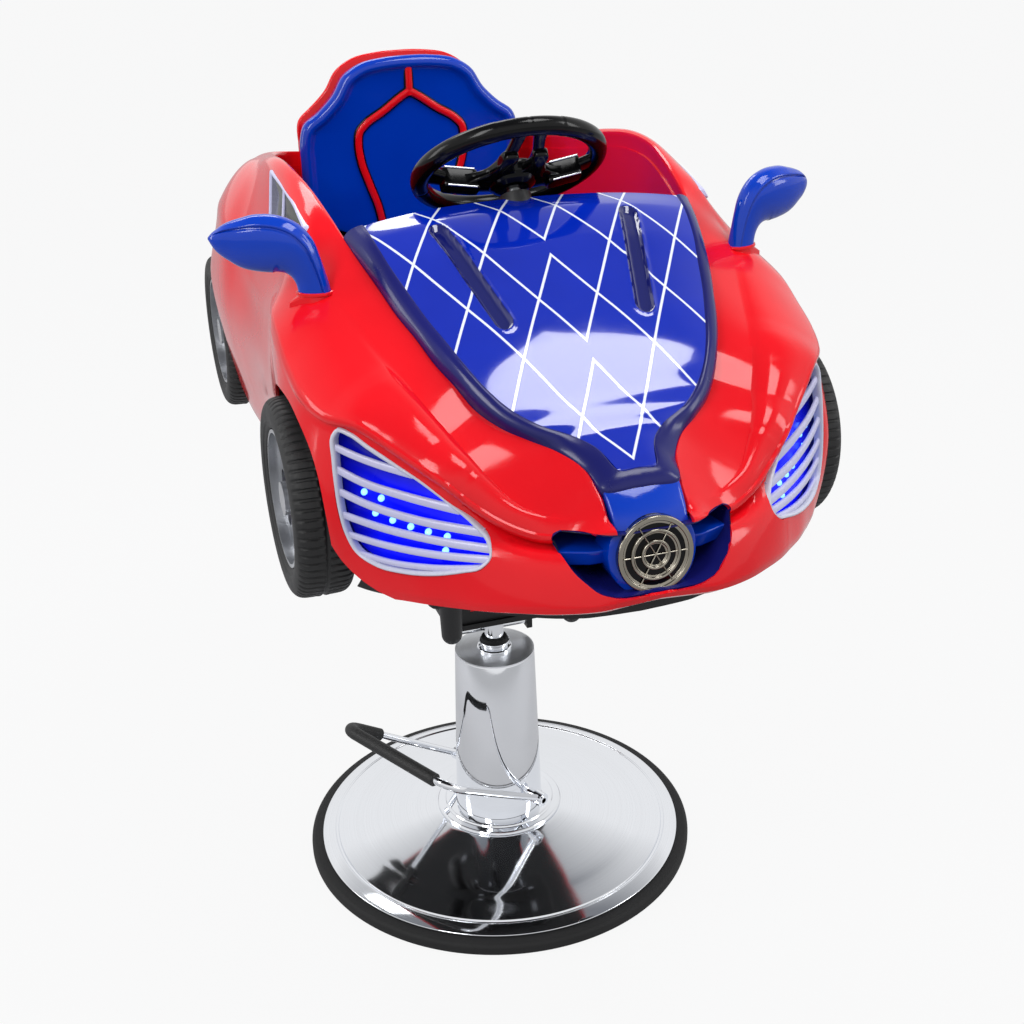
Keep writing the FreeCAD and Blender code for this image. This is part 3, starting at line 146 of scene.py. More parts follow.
def capped(rings):
    """Tube over closed rings of points, with each end drawn together to the middle of its ring."""
    middle = rings.mean(axis=1, keepdims=True)
    first = np.broadcast_to(middle[:1], rings[:1].shape)
    last = np.broadcast_to(middle[-1:], rings[-1:].shape)
    return grid(np.concatenate([first, rings, last]), wrap_columns=True)


def turned(profile, centre=(0, 0, 0), axis=(0, 0, 1), steps=96, closed=False):
    """Profile of radius and height carried round an axis through the centre."""
    profile = np.asarray(profile, float)
    first, second = across(axis)
    angle = circle(steps)
    ring = np.cos(angle)[:, None] * first + np.sin(angle)[:, None] * second
    points = (np.asarray(centre, float) + profile[:, None, :1] * ring
              + profile[:, None, 1:] * unit(axis))
    return grid(points, wrap_rows=closed, wrap_columns=True)


def rings_along(path, width, height, side_up, steps=24, power=2.0, closed=False):
    """Rings of a rounded section square to a path in one plane. Width runs along the plane and height
    along its normal; a higher power makes the section boxier."""
    path = np.asarray(path, float)
    tangent = (np.roll(path, -1, axis=0) - np.roll(path, 1, axis=0)) if closed else np.gradient(path, axis=0)
    tangent = unit(tangent)
    side_up = unit(side_up)
    side = unit(np.cross(tangent, side_up))
    angle = circle(steps)
    c, s = np.cos(angle), np.sin(angle)
    c, s = np.sign(c) * np.abs(c)**(2 / power), np.sign(s) * np.abs(s)**(2 / power)
    width = np.broadcast_to(np.asarray(width, float), len(path))[:, None, None]
    height = np.broadcast_to(np.asarray(height, float), len(path))[:, None, None]
    return (path[:, None] + c[None, :, None] * width * side[:, None]
            + s[None, :, None] * height * np.broadcast_to(side_up, path.shape)[:, None])


def pipe(path, width, height, side_up, steps=24, power=2.0, closed=False):
    """Closed tube of a rounded section along a path in one plane."""
    rings = rings_along(path, width, height, side_up, steps, power, closed)
    return grid(rings, wrap_rows=True, wrap_columns=True) if closed else capped(rings)


def flipped(part):
    """The same surface on the other side of the car's centre plane."""
    return part[0] * MIRRORED, part[1][:, ::-1]


def pair(*parts):
    """Parts of the right side together with their mirror images."""
    return list(parts) + [flipped(p) for p in parts]


def level_place(x, y, depth):
    """Point in plan at a height."""
    return np.stack([x, y, depth], axis=-1)


def side_place(y, z, depth):
    """Point in side view, a depth from the car's centre plane."""
    return np.stack([depth, y, z], axis=-1)


def slab(outline, low, high, place, edge=0.0):
    """Prism over a closed outline in a plane, from a low to a high depth, with its rims rounded by an
    edge. The place function turns rows of two plane values and a depth into points."""
    outline = np.asarray(outline, float)
    centre = outline.mean(axis=0)
    reach = np.linalg.norm(outline - centre, axis=1, keepdims=True)
    drawn = centre + (outline - centre) * (1 - edge / reach)
    soft = centre + (outline - centre) * (1 - 0.3 * edge / reach)
    levels = [(drawn, low), (soft, low + 0.3 * edge), (outline, low + edge), (outline, high - edge),
              (soft, high - 0.3 * edge), (drawn, high)]
    if edge == 0:
        levels = [(outline, low), (outline, high)]
    rings = np.stack([place(o[:, 0], o[:, 1], np.full(len(o), d)) for o, d in levels])
    return capped(rings)


def mesh_of(parts):
    """One mesh from several surfaces, its doubles merged and its faces turned outwards."""
    points = np.concatenate([p[0] for p in parts]) * MM
    starts = np.cumsum([0] + [len(p[0]) for p in parts[:-1]])
    quads = np.concatenate([p[1] + s for p, s in zip(parts, starts)])
    mesh = bpy.data.meshes.new("surface")
    mesh.from_pydata(points.tolist(), [], quads.tolist())
    work = bmesh.new()
    work.from_mesh(mesh)
    bmesh.ops.remove_doubles(work, verts=work.verts, dist=2e-6)
    bmesh.ops.dissolve_degenerate(work, edges=work.edges, dist=1e-7)
    bmesh.ops.recalc_face_normals(work, faces=work.faces)
    work.to_mesh(mesh)
    work.free()
    mesh.update()
    return mesh


def shade(mesh, angle):
    mesh.shade_smooth()
    mesh.set_sharp_from_angle(angle=math.radians(angle))


def loose(name, parts, wall=0.0):
    """Object of a mesh, with a wall's thickness grown inwards where one is given."""
    obj = bpy.data.objects.new(name, mesh_of(parts))
    bpy.context.scene.collection.objects.link(obj)
    if wall:
        solid = obj.modifiers.new("wall", "SOLIDIFY")
        solid.thickness, solid.offset = wall * MM, -1.0
    return obj


def cut_by(obj, cutters):
    """Cut an object by others, keep the result as its mesh and drop the cutters."""
    for cutter in cutters:
        step = obj.modifiers.new("cut", "BOOLEAN")
        step.operation, step.solver, step.object = "DIFFERENCE", "FAST", cutter
    settled(obj)
    for cutter in cutters:
        mesh = cutter.data
        bpy.data.objects.remove(cutter)
        bpy.data.meshes.remove(mesh)


def settled(obj):
    """Turn an object's modifiers into its mesh."""
    bpy.context.view_layer.update()
    view = bpy.context.evaluated_depsgraph_get()
    mesh = bpy.data.meshes.new_from_object(obj.evaluated_get(view))
    obj.modifiers.clear()
    obj.data = mesh


def open_up(mesh, outline, behind):
    """Take out of a sheet what lies inside a convex outline in front view, ahead of a place along y. The
    sheet is first split along the planes that run forwards through the outline's edges."""
    work = bmesh.new()
    work.from_mesh(mesh)
    corner = np.asarray(outline, float) * MM
    edge = np.roll(corner, -1, axis=0) - corner
    lowest, highest = corner.min(axis=0) - 0.01, corner.max(axis=0) + 0.01
    for (x, z), (run, rise) in zip(corner.tolist(), edge.tolist()):
        faces = []
        for face in work.faces:
            middle = face.calc_center_median()
            near_z = lowest[1] < middle.z < highest[1]
            if near_z and middle.y < behind * MM and lowest[0] < middle.x < highest[0]:
                faces.append(face)
        edges = list(dict.fromkeys(e for face in faces for e in face.edges))
        ends = list(dict.fromkeys(v for face in faces for v in face.verts))
        bmesh.ops.bisect_plane(work, geom=faces + edges + ends, dist=1e-7, plane_co=(x, 0, z),
                               plane_no=(rise, 0, -run))
    gone = []
    for face in work.faces:
        middle = face.calc_center_median()
        if middle.y < behind * MM:
            away = (middle.x - corner[:, 0]) * edge[:, 1] - (middle.z - corner[:, 1]) * edge[:, 0]
            if (away > 0).all() or (away < 0).all():
                gone.append(face)
    bmesh.ops.delete(work, geom=gone, context="FACES")
    work.to_mesh(mesh)
    work.free()


def piece(name, parts, body, finish, stands_for=(), slot=None, wall=0.0, cutters=(), angle=38, openings=()):
    """A finished piece: its mesh, openings, wall, cuts, material and the body it rides on."""
    obj = loose(name, parts, wall)
    for outline in openings:
        open_up(obj.data, outline, NOSE_END)
    if cutters:
        cut_by(obj, [loose("cutter", [c]) for c in cutters])
    elif wall:
        settled(obj)
    shade(obj.data, angle)
    obj.data.materials.clear()
    obj.data.materials.append(finish)
    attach(obj, body)
    if stands_for:
        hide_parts(*stands_for)


# Materials

class Wire:
    """One socket of a material. Sums and products on it add Math nodes."""

    def __init__(self, finish, socket):
        self.finish, self.socket = finish, socket

    def math(self, operation, *values):
        return self.finish.node("ShaderNodeMath", {"operation": operation}, dict(enumerate(values)))

    def __add__(self, other):
        return self.math("ADD", self, other)

    def __sub__(self, other):
        return self.math("SUBTRACT", self, other)

    def __rsub__(self, other):
        return self.math("SUBTRACT", other, self)

    def __mul__(self, other):
        return self.math("MULTIPLY", self, other)

    __radd__, __rmul__ = __add__, __mul__

    def size(self):
        return self.math("ABSOLUTE", self)

    def root(self):
        return self.math("SQRT", self)

    def most(self, other):
        return self.math("MAXIMUM", self, other)

    def least(self, other):
        return self.math("MINIMUM", self, other)

    def ping(self, span):
        return self.math("PINGPONG", self, span)


class Nodes:
    """The nodes of a material or of the world, each added by a call that gives its wire."""

    def __init__(self, tree):
        self.tree, self.coords = tree, None

    @staticmethod
    def colour(value):
        """Linear colour of three display values from 0 to 255, or a wire as it is."""
        if isinstance(value, Wire):
            return value
        share = np.array(value, float) / 255
        linear = np.where(share <= 0.04045, share / 12.92, ((share + 0.055) / 1.055)**2.4)
        return (*linear.tolist(), 1.0)

    def feed(self, socket, value):
        if isinstance(value, Wire):
            self.tree.links.new(value.socket, socket)
        else:
            socket.default_value = value

    def node(self, kind, settings=None, inputs=None, output=0):
        made = self.tree.nodes.new(kind)
        for key, value in (settings or {}).items():
            setattr(made, key, value)
        for key, value in (inputs or {}).items():
            self.feed(made.inputs[key], value)
        return Wire(self, made.outputs[output])

    def place(self):
        """Object coordinates in metres."""
        if self.coords is None:
            self.coords = self.node("ShaderNodeTexCoord", output="Object")
        return self.coords

    def parts(self, vector=None):
        """The three values of a vector, or of the place where none is given."""
        split = self.tree.nodes.new("ShaderNodeSeparateXYZ")
        self.feed(split.inputs[0], vector or self.place())
        return [Wire(self, split.outputs[i]) for i in range(3)]

    def noise(self, scale, detail=2.0, rough=0.5, vector=None):
        return self.node("ShaderNodeTexNoise", None, {"Vector": vector or self.place(), "Scale": scale,
                                                     "Detail": detail, "Roughness": rough}, "Fac")

    def speckle(self, scale):
        return self.node("ShaderNodeTexVoronoi", None, {"Vector": self.place(), "Scale": scale}, "Distance")

    def range(self, value, low, high, to_low=0.0, to_high=1.0):
        return self.node("ShaderNodeMapRange", None, {"Value": value, "From Min": low, "From Max": high,
                                                     "To Min": to_low, "To Max": to_high})

    def mix(self, share, first, second):
        return self.node("ShaderNodeMix", {"data_type": "RGBA"},
                         {0: share, 6: self.colour(first), 7: self.colour(second)}, 2)

    def rays(self):
        """Three wires that are 1 for rays from the camera, from gloss and through something clear."""
        kinds = self.tree.nodes.new("ShaderNodeLightPath")
        return [Wire(self, kinds.outputs[name]) for name in
                ("Is Camera Ray", "Is Glossy Ray", "Is Transmission Ray")]

    def blend(self, share, first, second):
        """Output of a shader mixed from two others."""
        mixed = self.tree.nodes.new("ShaderNodeMixShader")
        self.feed(mixed.inputs[0], share)
        self.tree.links.new(first, mixed.inputs[1])
        self.tree.links.new(second, mixed.inputs[2])
        return mixed.outputs[0]


class Finish(Nodes):
    """A material of one Principled shader. Values that are the same all over go on its own sockets."""

    SOCKETS = {"metal": "Metallic", "coat": "Coat Weight", "coat_rough": "Coat Roughness",
               "glow": "Emission Color", "glow_strength": "Emission Strength",
               "specular": "Specular IOR Level", "base": "Base Color", "rough": "Roughness",
               "normal": "Normal"}

    def __init__(self, name, colour, rough, **flat):
        self.material = bpy.data.materials.new(name)
        self.material.use_nodes = True
        super().__init__(self.material.node_tree)
        self.shader = self.tree.nodes["Principled BSDF"]
        self.set("base", colour)
        self.set("rough", rough)
        for key, value in flat.items():
            self.set(key, value)

    def set(self, key, value):
        if key in ("glow", "base"):
            value = self.colour(value)
        self.feed(self.shader.inputs[self.SOCKETS[key]], value)

    def bump(self, height, strength, distance):
        self.set("normal", self.node("ShaderNodeBump", None, {"Strength": strength, "Distance": distance,
                                                              "Height": height}))


def moulded(name, colour, deep, rough=0.16, coat=0.5, peel=0.05, **flat):
    """Glossy moulded plastic: a faint drift of colour, fine scuffs in the gloss and a slight orange peel."""
    f = Finish(name, colour, rough, coat=coat, coat_rough=0.06, **flat)
    drift = f.range(f.noise(5.0, 3.0), 0.35, 0.7)
    fine = f.noise(260.0, 3.0, 0.6)
    f.set("base", f.mix(drift * 0.55, colour, deep))
    scuff = f.range(f.noise(38.0, 5.0, 0.65), 0.5, 0.78)
    f.set("rough", rough + scuff * 0.08 + fine * 0.04)
    f.bump(fine * 0.3 + f.noise(90.0, 1.0) * 0.7, peel, 0.0006)
    return f


def grained(name, colour, deep, rough=0.55, scale=900.0, depth=0.35, **flat):
    """Moulded plastic or rubber with a fine leathery grain, duller in its valleys."""
    f = Finish(name, colour, rough, **flat)
    cells = f.speckle(scale)
    cloud = f.noise(14.0, 4.0)
    f.set("base", f.mix(f.range(cloud, 0.3, 0.75), colour, deep))
    f.set("rough", rough + cells * 0.12 - cloud * 0.08)
    f.bump(cells + f.noise(scale * 0.4, 2.0) * 0.5, depth, 0.0004)
    return f


def plated(name, colour, rough=0.05, stain=0.05, **flat):
    """Polished or plated metal: faint polishing haze and cloudy spots of duller finish."""
    f = Finish(name, colour, rough, metal=1.0, **flat)
    haze = f.noise(30.0, 5.0, 0.6)
    f.set("rough", rough + f.range(haze, 0.45, 0.8) * stain)
    f.set("base", f.mix(f.range(f.noise(9.0, 2.0), 0.4, 0.8) * 0.25, colour, [v * 0.82 for v in colour]))
    f.bump(f.noise(420.0, 2.0), 0.012, 0.0004)
    return f


def machined(name, colour, rough=0.32, **flat):
    """Turned or rolled metal with fine scratches along one way and dull blotches."""
    f = Finish(name, colour, rough, metal=1.0, **flat)
    x, y, z = f.parts()
    lines = f.noise(1400.0, 2.0, 0.6, f.node("ShaderNodeCombineXYZ", None, {0: x * 0.1, 1: y * 0.1, 2: z}))
    blotch = f.noise(22.0, 4.0)
    f.set("rough", rough + blotch * 0.16 - lines * 0.08)
    f.set("base", f.mix(f.range(blotch, 0.35, 0.75), colour, [v * 0.8 for v in colour]))
    f.bump(lines, 0.1, 0.0003)
    return f


def spun(name, colour, rough=0.04, **flat):
    """Polished metal with fine rings about the upright axis, left by turning, and faint cloudy patches."""
    f = Finish(name, colour, rough, metal=1.0, **flat)
    x, y, z = f.parts()
    radius = (x * x + y * y).root()
    lines = f.noise(900.0, 3.0, 0.6, f.node("ShaderNodeCombineXYZ", None, {0: radius, 2: z}))
    cloud = f.noise(12.0, 3.0)
    f.set("rough", rough + lines * 0.05 + f.range(cloud, 0.4, 0.8) * 0.05)
    f.set("base", f.mix(f.range(lines, 0.3, 0.7) * 0.3, colour, [v * 0.9 for v in colour]))
    f.bump(lines, 0.015, 0.0003)
    return f


RED, DEEP_RED = (234, 18, 30), (208, 8, 20)
BLUE, DEEP_BLUE = (0, 62, 190), (0, 44, 160)
HOOD_BLUE, NAVY = (4, 40, 176), (24, 26, 104)

red_shell = moulded("red_shell", RED, DEEP_RED, 0.08, 0.15, specular=0.25)
blue_shell = moulded("blue_shell", BLUE, DEEP_BLUE, 0.07, 0.2, specular=0.3)
navy_trim = moulded("navy_trim", NAVY, (14, 16, 78), 0.2, 0.1, specular=0.3)
gloss_black = moulded("gloss_black", (8, 8, 9), (4, 4, 5), 0.12, 0.0, specular=0.22)
satin_black = grained("satin_black", (26, 26, 28), (16, 16, 18), 0.45, 1300.0, 0.2)
floor_black = grained("floor_black", (20, 20, 22), (12, 12, 14), 0.6, 500.0, 0.3)
rubber = grained("rubber", (22, 22, 23), (12, 12, 13), 0.7, 1600.0, 0.3)
grip_rubber = grained("grip_rubber", (18, 18, 19), (10, 10, 10), 0.5, 1100.0, 0.3)
chrome = plated("chrome", (236, 238, 242), 0.035, 0.05)
spun_cover = spun("spun_cover", (238, 240, 244))
spun_cap = spun("spun_cap", (240, 242, 246), 0.3)
dark_chrome = plated("dark_chrome", (120, 122, 128), 0.12, 0.1)
steel = machined("steel", (168, 170, 174), 0.34)
black_steel = grained("black_steel", (24, 24, 26), (14, 14, 15), 0.42, 700.0, 0.3, metal=0.3)
cast_steel = machined("cast_steel", (96, 98, 102), 0.5)
bronze = machined("bronze", (176, 128, 66), 0.3)
nickel = plated("nickel", (158, 152, 140), 0.16, 0.12)
silver = moulded("silver", (202, 201, 232), (178, 178, 212), 0.24, 0.1)
frame_silver = moulded("frame_silver", (206, 208, 224), (184, 187, 204), 0.24, 0.1)
wheel_silver = machined("wheel_silver", (206, 208, 212), 0.26)
mirror_glass = plated("mirror_glass", (226, 230, 236), 0.01, 0.02)


slot_start, slot_end = np.array([81.0, -331]), np.array([113.0, -206])


def make_hood_paint():
    """Royal blue with thin pale racing lines: two slanted families of straight parallel lines, mirrored about
    the centre, so that they meet in long diamonds. The two pressed slots are darkened to navy as painted
    shade."""
    f = Finish("hood_paint", HOOD_BLUE, 0.07, coat=0.8, coat_rough=0.03)
    x, y, z = f.parts()
    side = x.size()
    run, rise = math.cos(math.radians(58)), math.sin(math.radians(58))
    down = (side * rise + y * run).ping(0.034)
    up = (side * rise - y * run + 0.011).ping(0.034)
    near = down.least(up)
    line = f.range(near, 0.0011, 0.0016, 1.0, 0.0)
    drift = f.range(f.noise(6.0, 3.0), 0.35, 0.7)
    paint = f.mix(drift * 0.6, HOOD_BLUE, (2, 30, 150))
    way_x, way_y = unit(slot_end - slot_start).tolist()
    over, ahead = side - float(slot_start[0]) * MM, y - float(slot_start[1]) * MM
    run = (over * way_x + ahead * way_y).most(0.0).least(math.dist(slot_start, slot_end) * MM)
    over, ahead = over - run * way_x, ahead - run * way_y
    away = (over * over + ahead * ahead).root()
    # Painted shade: the slot dishes and their lips are darkened to navy (16, 22, 96) where shade falls in
    # them.
    slot_painted_shade = f.range(away, 0.0104, 0.0116, 1.0, 0.0)
    printed = f.mix(line, paint, (232, 236, 250))
    f.set("base", f.mix(slot_painted_shade, printed, (16, 22, 96)))
    fine = f.noise(300.0, 3.0, 0.6)
    f.set("rough", 0.05 + fine * 0.05 + f.range(f.noise(40.0, 5.0, 0.65), 0.5, 0.78) * 0.07)
    f.bump(line * 0.6 + fine * 0.2, 0.05, 0.0003)
    return f


def make_tyre_rubber():
    """Black rubber, dusty grey in cloudy patches, with a fine speckled grain in its surface."""
    f = Finish("tyre_rubber", (14, 14, 15), 0.62)
    dust = f.range(f.noise(55.0, 5.0, 0.65), 0.35, 0.75)
    f.set("base", f.mix(dust, (9, 9, 10), (24, 24, 25)))
    f.set("rough", 0.52 + dust * 0.16)
    f.bump(f.noise(700.0, 3.0) + f.speckle(1500.0) * 0.5, 0.3, 0.0004)
    return f


def make_lamp_glow():
    """Lit blue board behind the lens: bright blue that fades and flickers softly over the board."""
    f = Finish("lamp_glow", (4, 10, 150), 0.2, specular=0.2)
    x, y, z = f.parts()
    cloud = f.range(f.noise(22.0, 2.0), 0.3, 0.75)
    lit = f.range((z - 0.733).size(), 0.03, 0.062, 1.0, 0.0) * f.range(x.size(), 0.235, 0.268, 1.0, 0.0)
    f.set("base", f.mix(cloud, (2, 2, 110), (4, 6, 170)))
    f.set("glow", f.mix(lit, (3, 5, 84), f.mix(cloud, (2, 2, 236), (8, 22, 255))))
    f.set("glow_strength", 1.0)
    f.set("rough", 0.2 + cloud * 0.1)
    f.bump(f.noise(180.0, 2.0), 0.05, 0.0004)
    return f


def make_diode_glow():
    """Diode dome: white-blue at its crown, cyan at its foot, by the share of light that leaves it."""
    f = Finish("diode_glow", (120, 220, 255), 0.2, coat=0.4)
    facing = f.node("ShaderNodeLayerWeight", None, {"Blend": 0.35}, "Facing")
    f.set("glow", f.mix(facing, (170, 236, 255), (30, 130, 255)))
    f.set("base", f.mix(f.noise(300.0), (120, 220, 255), (90, 190, 250)))
    f.set("glow_strength", 1.3)
    f.set("rough", 0.12 + f.noise(500.0) * 0.1)
    return f


def make_pane():
    """Dark grey window plastic that turns greenish grey in cloudy patches, with a faint haze in its gloss."""
    f = Finish("window_glass", (46, 50, 52), 0.06, specular=0.3)
    x, y, z = f.parts()
    haze = f.noise(16.0, 4.0)
    f.set("base", f.mix(f.range(haze, 0.3, 0.7), (46, 42, 46), (70, 76, 70)))
    f.set("rough", 0.05 + haze * 0.1)
    f.bump(f.noise(120.0, 2.0), 0.02, 0.0004)
    return f


hood_paint, tyre_rubber = make_hood_paint(), make_tyre_rubber()
lamp_glow, diode_glow, window_glass = make_lamp_glow(), make_diode_glow(), make_pane()

node_finish = {
    "base_ring": rubber, "base_plate": cast_steel, "base_cover": spun_cover, "column_flange": chrome,
    "column_shroud": chrome, "column_cap": spun_cap, "cap_screw": dark_chrome, "foot_bolts": steel,
    "pump_block": cast_steel, "gland_nut": dark_chrome, "wiper_seal": rubber, "plunger_spring": steel,
    "pedal_pivot": chrome, "pedal_lever": chrome, "pedal_grip": grip_rubber, "pump_cam": steel,
    "pump_plunger": steel, "ram_head": bronze, "piston_rod": chrome, "seat_plate": black_steel,
    "plate_bolts": steel, "tie_bar": chrome, "riser_box": floor_black, "floor_tray": floor_black,
    "floor_feet": satin_black, "battery_pack": satin_black, "stub_axles": steel, "seat_shell": blue_shell,
    "seat_strips": red_shell, "seat_backing": red_shell, "seat_support": satin_black,
    "column_bush": satin_black, "dashboard": satin_black, "lamp_housings": navy_trim,
    "lamp_boards": lamp_glow, "lamp_lenses": lamp_glow, "lamp_louvres": silver, "body_shell": red_shell,
    "front_bumper": red_shell, "nose_panel": blue_shell, "grille_recess": navy_trim, "round_grille": nickel,
    "window_frames": silver, "window_panes": window_glass, "hood_trim": navy_trim, "hood_panel": hood_paint,
    "mirror_shells": blue_shell, "mirror_glasses": mirror_glass, "steering_wheel": gloss_black,
    "wheel_inserts": chrome, "steering_shaft": steel, "horn_button": gloss_black,
}
for place in ("front_right", "front_left", "rear_right", "rear_left"):
    node_finish["tyre_" + place], node_finish["rim_" + place] = tyre_rubber, wheel_silver
for node_name, finish in node_finish.items():
    solid_mesh = frame["nodes"][node_name].data
    solid_mesh.materials.clear()
    solid_mesh.materials.append(finish.material)


def made(name, parts, body, finish, *nodes, **ways):
    """A piece in a finish, standing for the nodes that are named."""
    slots = {s["node"]: s["material_slot"] for s in frame["record"].get("subparts", [])}
    slot = slots.get(nodes[0]) if nodes else None
    piece(name, parts, body, finish.material, nodes, slot, **ways)


# The car's skin: rows of points from the nose round the side to the tail, at the rim of the hood or
# cockpit, on the fender's crease, on its shoulder, at the widest place and along the sill

rim_row = [
    (0, -545, 752.5), (41, -537, 754), (44, -514, 775), (51, -486, 794), (68, -460, 805), (92, -441, 814),
    (115, -420, 823), (134, -396, 836), (149, -371, 857), (162, -344, 874), (173, -311, 894),
    (184, -279, 911), (193, -241, 931), (203, -198, 952), (212, -156, 973), (217, -120, 987),
    (224, -60, 1005), (230, 0, 1016), (231, 70, 1017), (224, 155, 1006), (214, 220, 994),
    (206, 290, 983), (198, 345, 976), (178, 392, 970), (148, 404, 966), (100, 411, 962), (50, 412, 960),
    (0, 412, 960)]
crease_row = [
    (0, -549, 752), (44, -543, 753.5), (66, -523, 756), (94, -505, 757), (121, -488, 767),
    (140, -467, 786), (156, -445, 807), (169, -417, 824), (184, -390, 844), (197, -361, 862),
    (209, -325, 878), (219, -291, 893), (232, -250, 912), (247, -208, 930), (250, -166, 944),
    (243, -122, 978), (247, -60, 993), (248, 0, 1003), (247, 70, 1009), (243, 155, 1002),
    (238, 220, 991), (234, 290, 981), (226, 345, 972), (212, 405, 960), (188, 440, 931), (138, 470, 908),
    (70, 487, 897), (0, 492, 894)]
shoulder_row = [
    (0, -552, 751), (46, -548, 752), (75, -528, 746), (107, -512, 744), (137, -497, 755),
    (163, -480, 772), (188, -464, 794), (210, -441, 809), (234, -417, 826), (258, -391, 841),
    (284, -355, 843), (297, -318, 852), (302, -275, 868), (303, -225, 890), (300, -175, 900),
    (290, -128, 900), (286, -60, 888), (285, 0, 880), (284, 70, 880), (286, 155, 893), (292, 220, 910),
    (289, 290, 917), (282, 352, 913), (271, 412, 890), (244, 456, 867), (188, 490, 851), (98, 506, 842),
    (0, 511, 838)]
wide_row = [
    (0, -556, 722), (46, -553, 722), (75, -545, 722), (108, -531, 722), (140, -513, 722),
    (168, -494, 722), (194, -471, 724), (219, -446, 728), (246, -418, 732), (272, -393, 736),
    (296, -373, 738), (311, -340, 742), (312, -290, 760), (309, -240, 790), (304, -182, 800),
    (300, -125, 795), (298, -60, 790), (297, 0, 790), (298, 70, 790), (302, 155, 790), (306, 220, 790),
    (307, 290, 790), (305, 358, 790), (291, 416, 785), (261, 462, 780), (197, 497, 775), (101, 513, 772),
    (0, 518, 770)]
sill_row = [
    (0, -571.5, 686), (46, -568.5, 682), (75, -564, 680), (108.5, -550.5, 678), (138.5, -532, 676),
    (166.5, -511, 673), (191, -487.5, 670), (214.5, -465, 668), (237, -439, 665), (257.5, -415, 661),
    (280.5, -382.5, 656), (293, -349, 652), (294, -300, 650), (288, -235, 652), (284, -178, 654),
    (281, -122, 656), (279, -60, 657), (278, 0, 657), (279, 70, 657), (282, 155, 656), (284, 220, 655),
    (284, 290, 655), (282, 356, 655), (270, 410, 655), (242, 452, 655), (182, 484, 655), (94, 500, 655),
    (0, 505, 655)]
# How far the shoulder hangs over as a lip, how high the side swells behind its crease, and how high the
# band between rim and crease is rounded
lip_share = [1] * 9 + [0.9, 0.55, 0.25, 0.08] + [0] * 15
swell = [0, 0, 0, 2, 5, 7, 8, 9, 9, 9, 9, 8, 6, 4, 3, 2, 1, 1, 2, 4, 8, 10, 8, 5, 3, 2, 2, 2]
band_crown = [0] * 13 + [0.5, 1.5, 2.5, 3.5, 4, 4, 4, 3.5, 3, 3, 3, 3, 2, 2, 2]


def flow(row, at):
    """A row of the skin at distances along the shoulder."""
    return smooth(row, skin_knots, at)


skin_knots = chords(shoulder_row)
stations = np.unique(np.concatenate([np.linspace(0, skin_knots[-1], 190),
                                     np.linspace(0, skin_knots[10], 70)]))


def skin():
    """The right half of the body's outer skin. Each section runs from the turned-in rim over the crease
    to the shoulder, round the lip and down over the widest row to the sill."""
    rim, crease, shoulder, wide, sill = (flow(r, stations) for r in
                                         (rim_row, crease_row, shoulder_row, wide_row, sill_row))
    lip = np.clip(flow(lip_share, stations), 0, 1)[:, None]
    high, crown = (np.maximum(flow(v, stations), 0)[:, None] for v in (swell, band_crown))
    along = np.gradient(shoulder, axis=0) * FLAT
    out = unit(np.stack([along[:, 1], -along[:, 0], np.zeros(len(along))], axis=1))
    up = UP
    inward = unit((rim - crease) * FLAT - out * 0.01)
    columns = [rim + inward * 2.6 - up * depth for depth in (26, 14, 7, 3.4)]
    columns += [rim + inward * 1.6 - up * 1.2, rim - inward * 0.6 - up * 0.1]
    for share in np.linspace(0.07, 1, 10):
        columns.append(rim + (crease - rim) * share + up * crown * np.sin(np.pi * share)**0.8)
    normal = unit(out * 0.45 + up)
    for share in np.linspace(0.06, 0.97, 15):
        rise = np.sin(np.pi * share**0.85)**0.8
        columns.append(crease + (shoulder - crease) * share + normal * high * rise)
    hang = [(0.0, 0), (2.2, -1.5), (3.2, -4.5), (2.4, -8), (0.2, -10.5), (-6, -11.5), (-7, -15)]
    flat = [(0.0, 0), (1, -3), (1.8, -6), (2.5, -9), (3, -12), (3.4, -14), (3.9, -17)]
    for (hang_out, hang_down), (flat_out, flat_down) in zip(hang, flat):
        columns.append(shoulder + out * (lip * hang_out + (1 - lip) * flat_out)
                       + up * (lip * hang_down + (1 - lip) * flat_down))
    start = columns[-1]
    turn = sill - out * 9 - up * 11
    rows = np.stack([start, wide, sill, turn])
    for at in np.concatenate([np.linspace(0.08, 1, 12), np.linspace(1.12, 2, 9), [2.35, 2.7, 3.0]]):
        columns.append(smooth(rows, [0.0, 1.0, 2.0, 3.0], [at])[0])
    columns.append(turn - out * 14 + up * 1.5)
    return np.stack(columns, axis=1)


half_skin = skin()
half_skin[[0, -1], :, 0] = 0
whole_skin = np.concatenate([half_skin[:0:-1] * MIRRORED, half_skin[:-1]])


# The lamps lie in a plane that leans with the bumper: u runs along it, z up, depth out of it

lamp_along = np.array([0.731, 0.682, 0.0])
lamp_out = np.array([0.682, -0.731, 0.0])


def squares(u, z):
    """Terms of a quadratic of two values."""
    return np.stack([np.ones_like(u), u, z, u * u, u * z, z * z], axis=-1)


def fitted_face(points, u, out, near):
    """Least-squares face through the near points: the distance out as a quadratic of u and z."""
    return np.linalg.lstsq(squares(u[near], points[near, 2]), out[near], rcond=None)[0]


def fit_lamp_face():
    """Face through the skin where the lamp sits."""
    points = half_skin[:, 38:60].reshape(-1, 3)
    u, z = points @ lamp_along, points[:, 2]
    near = (u > -240) & (u < -45) & (z > 675) & (z < 835) & (points[:, 1] < -300)
    return fitted_face(points, u, points @ lamp_out, near)


lamp_face = fit_lamp_face()


def lamp_point(u, z, depth):
    """Point over the fitted lamp face, a depth out from it."""
    u, z, depth = np.broadcast_arrays(np.asarray(u, float), np.asarray(z, float), np.asarray(depth, float))
    out = squares(u, z) @ lamp_face + depth
    return u[..., None] * lamp_along + out[..., None] * lamp_out + z[..., None] * UP


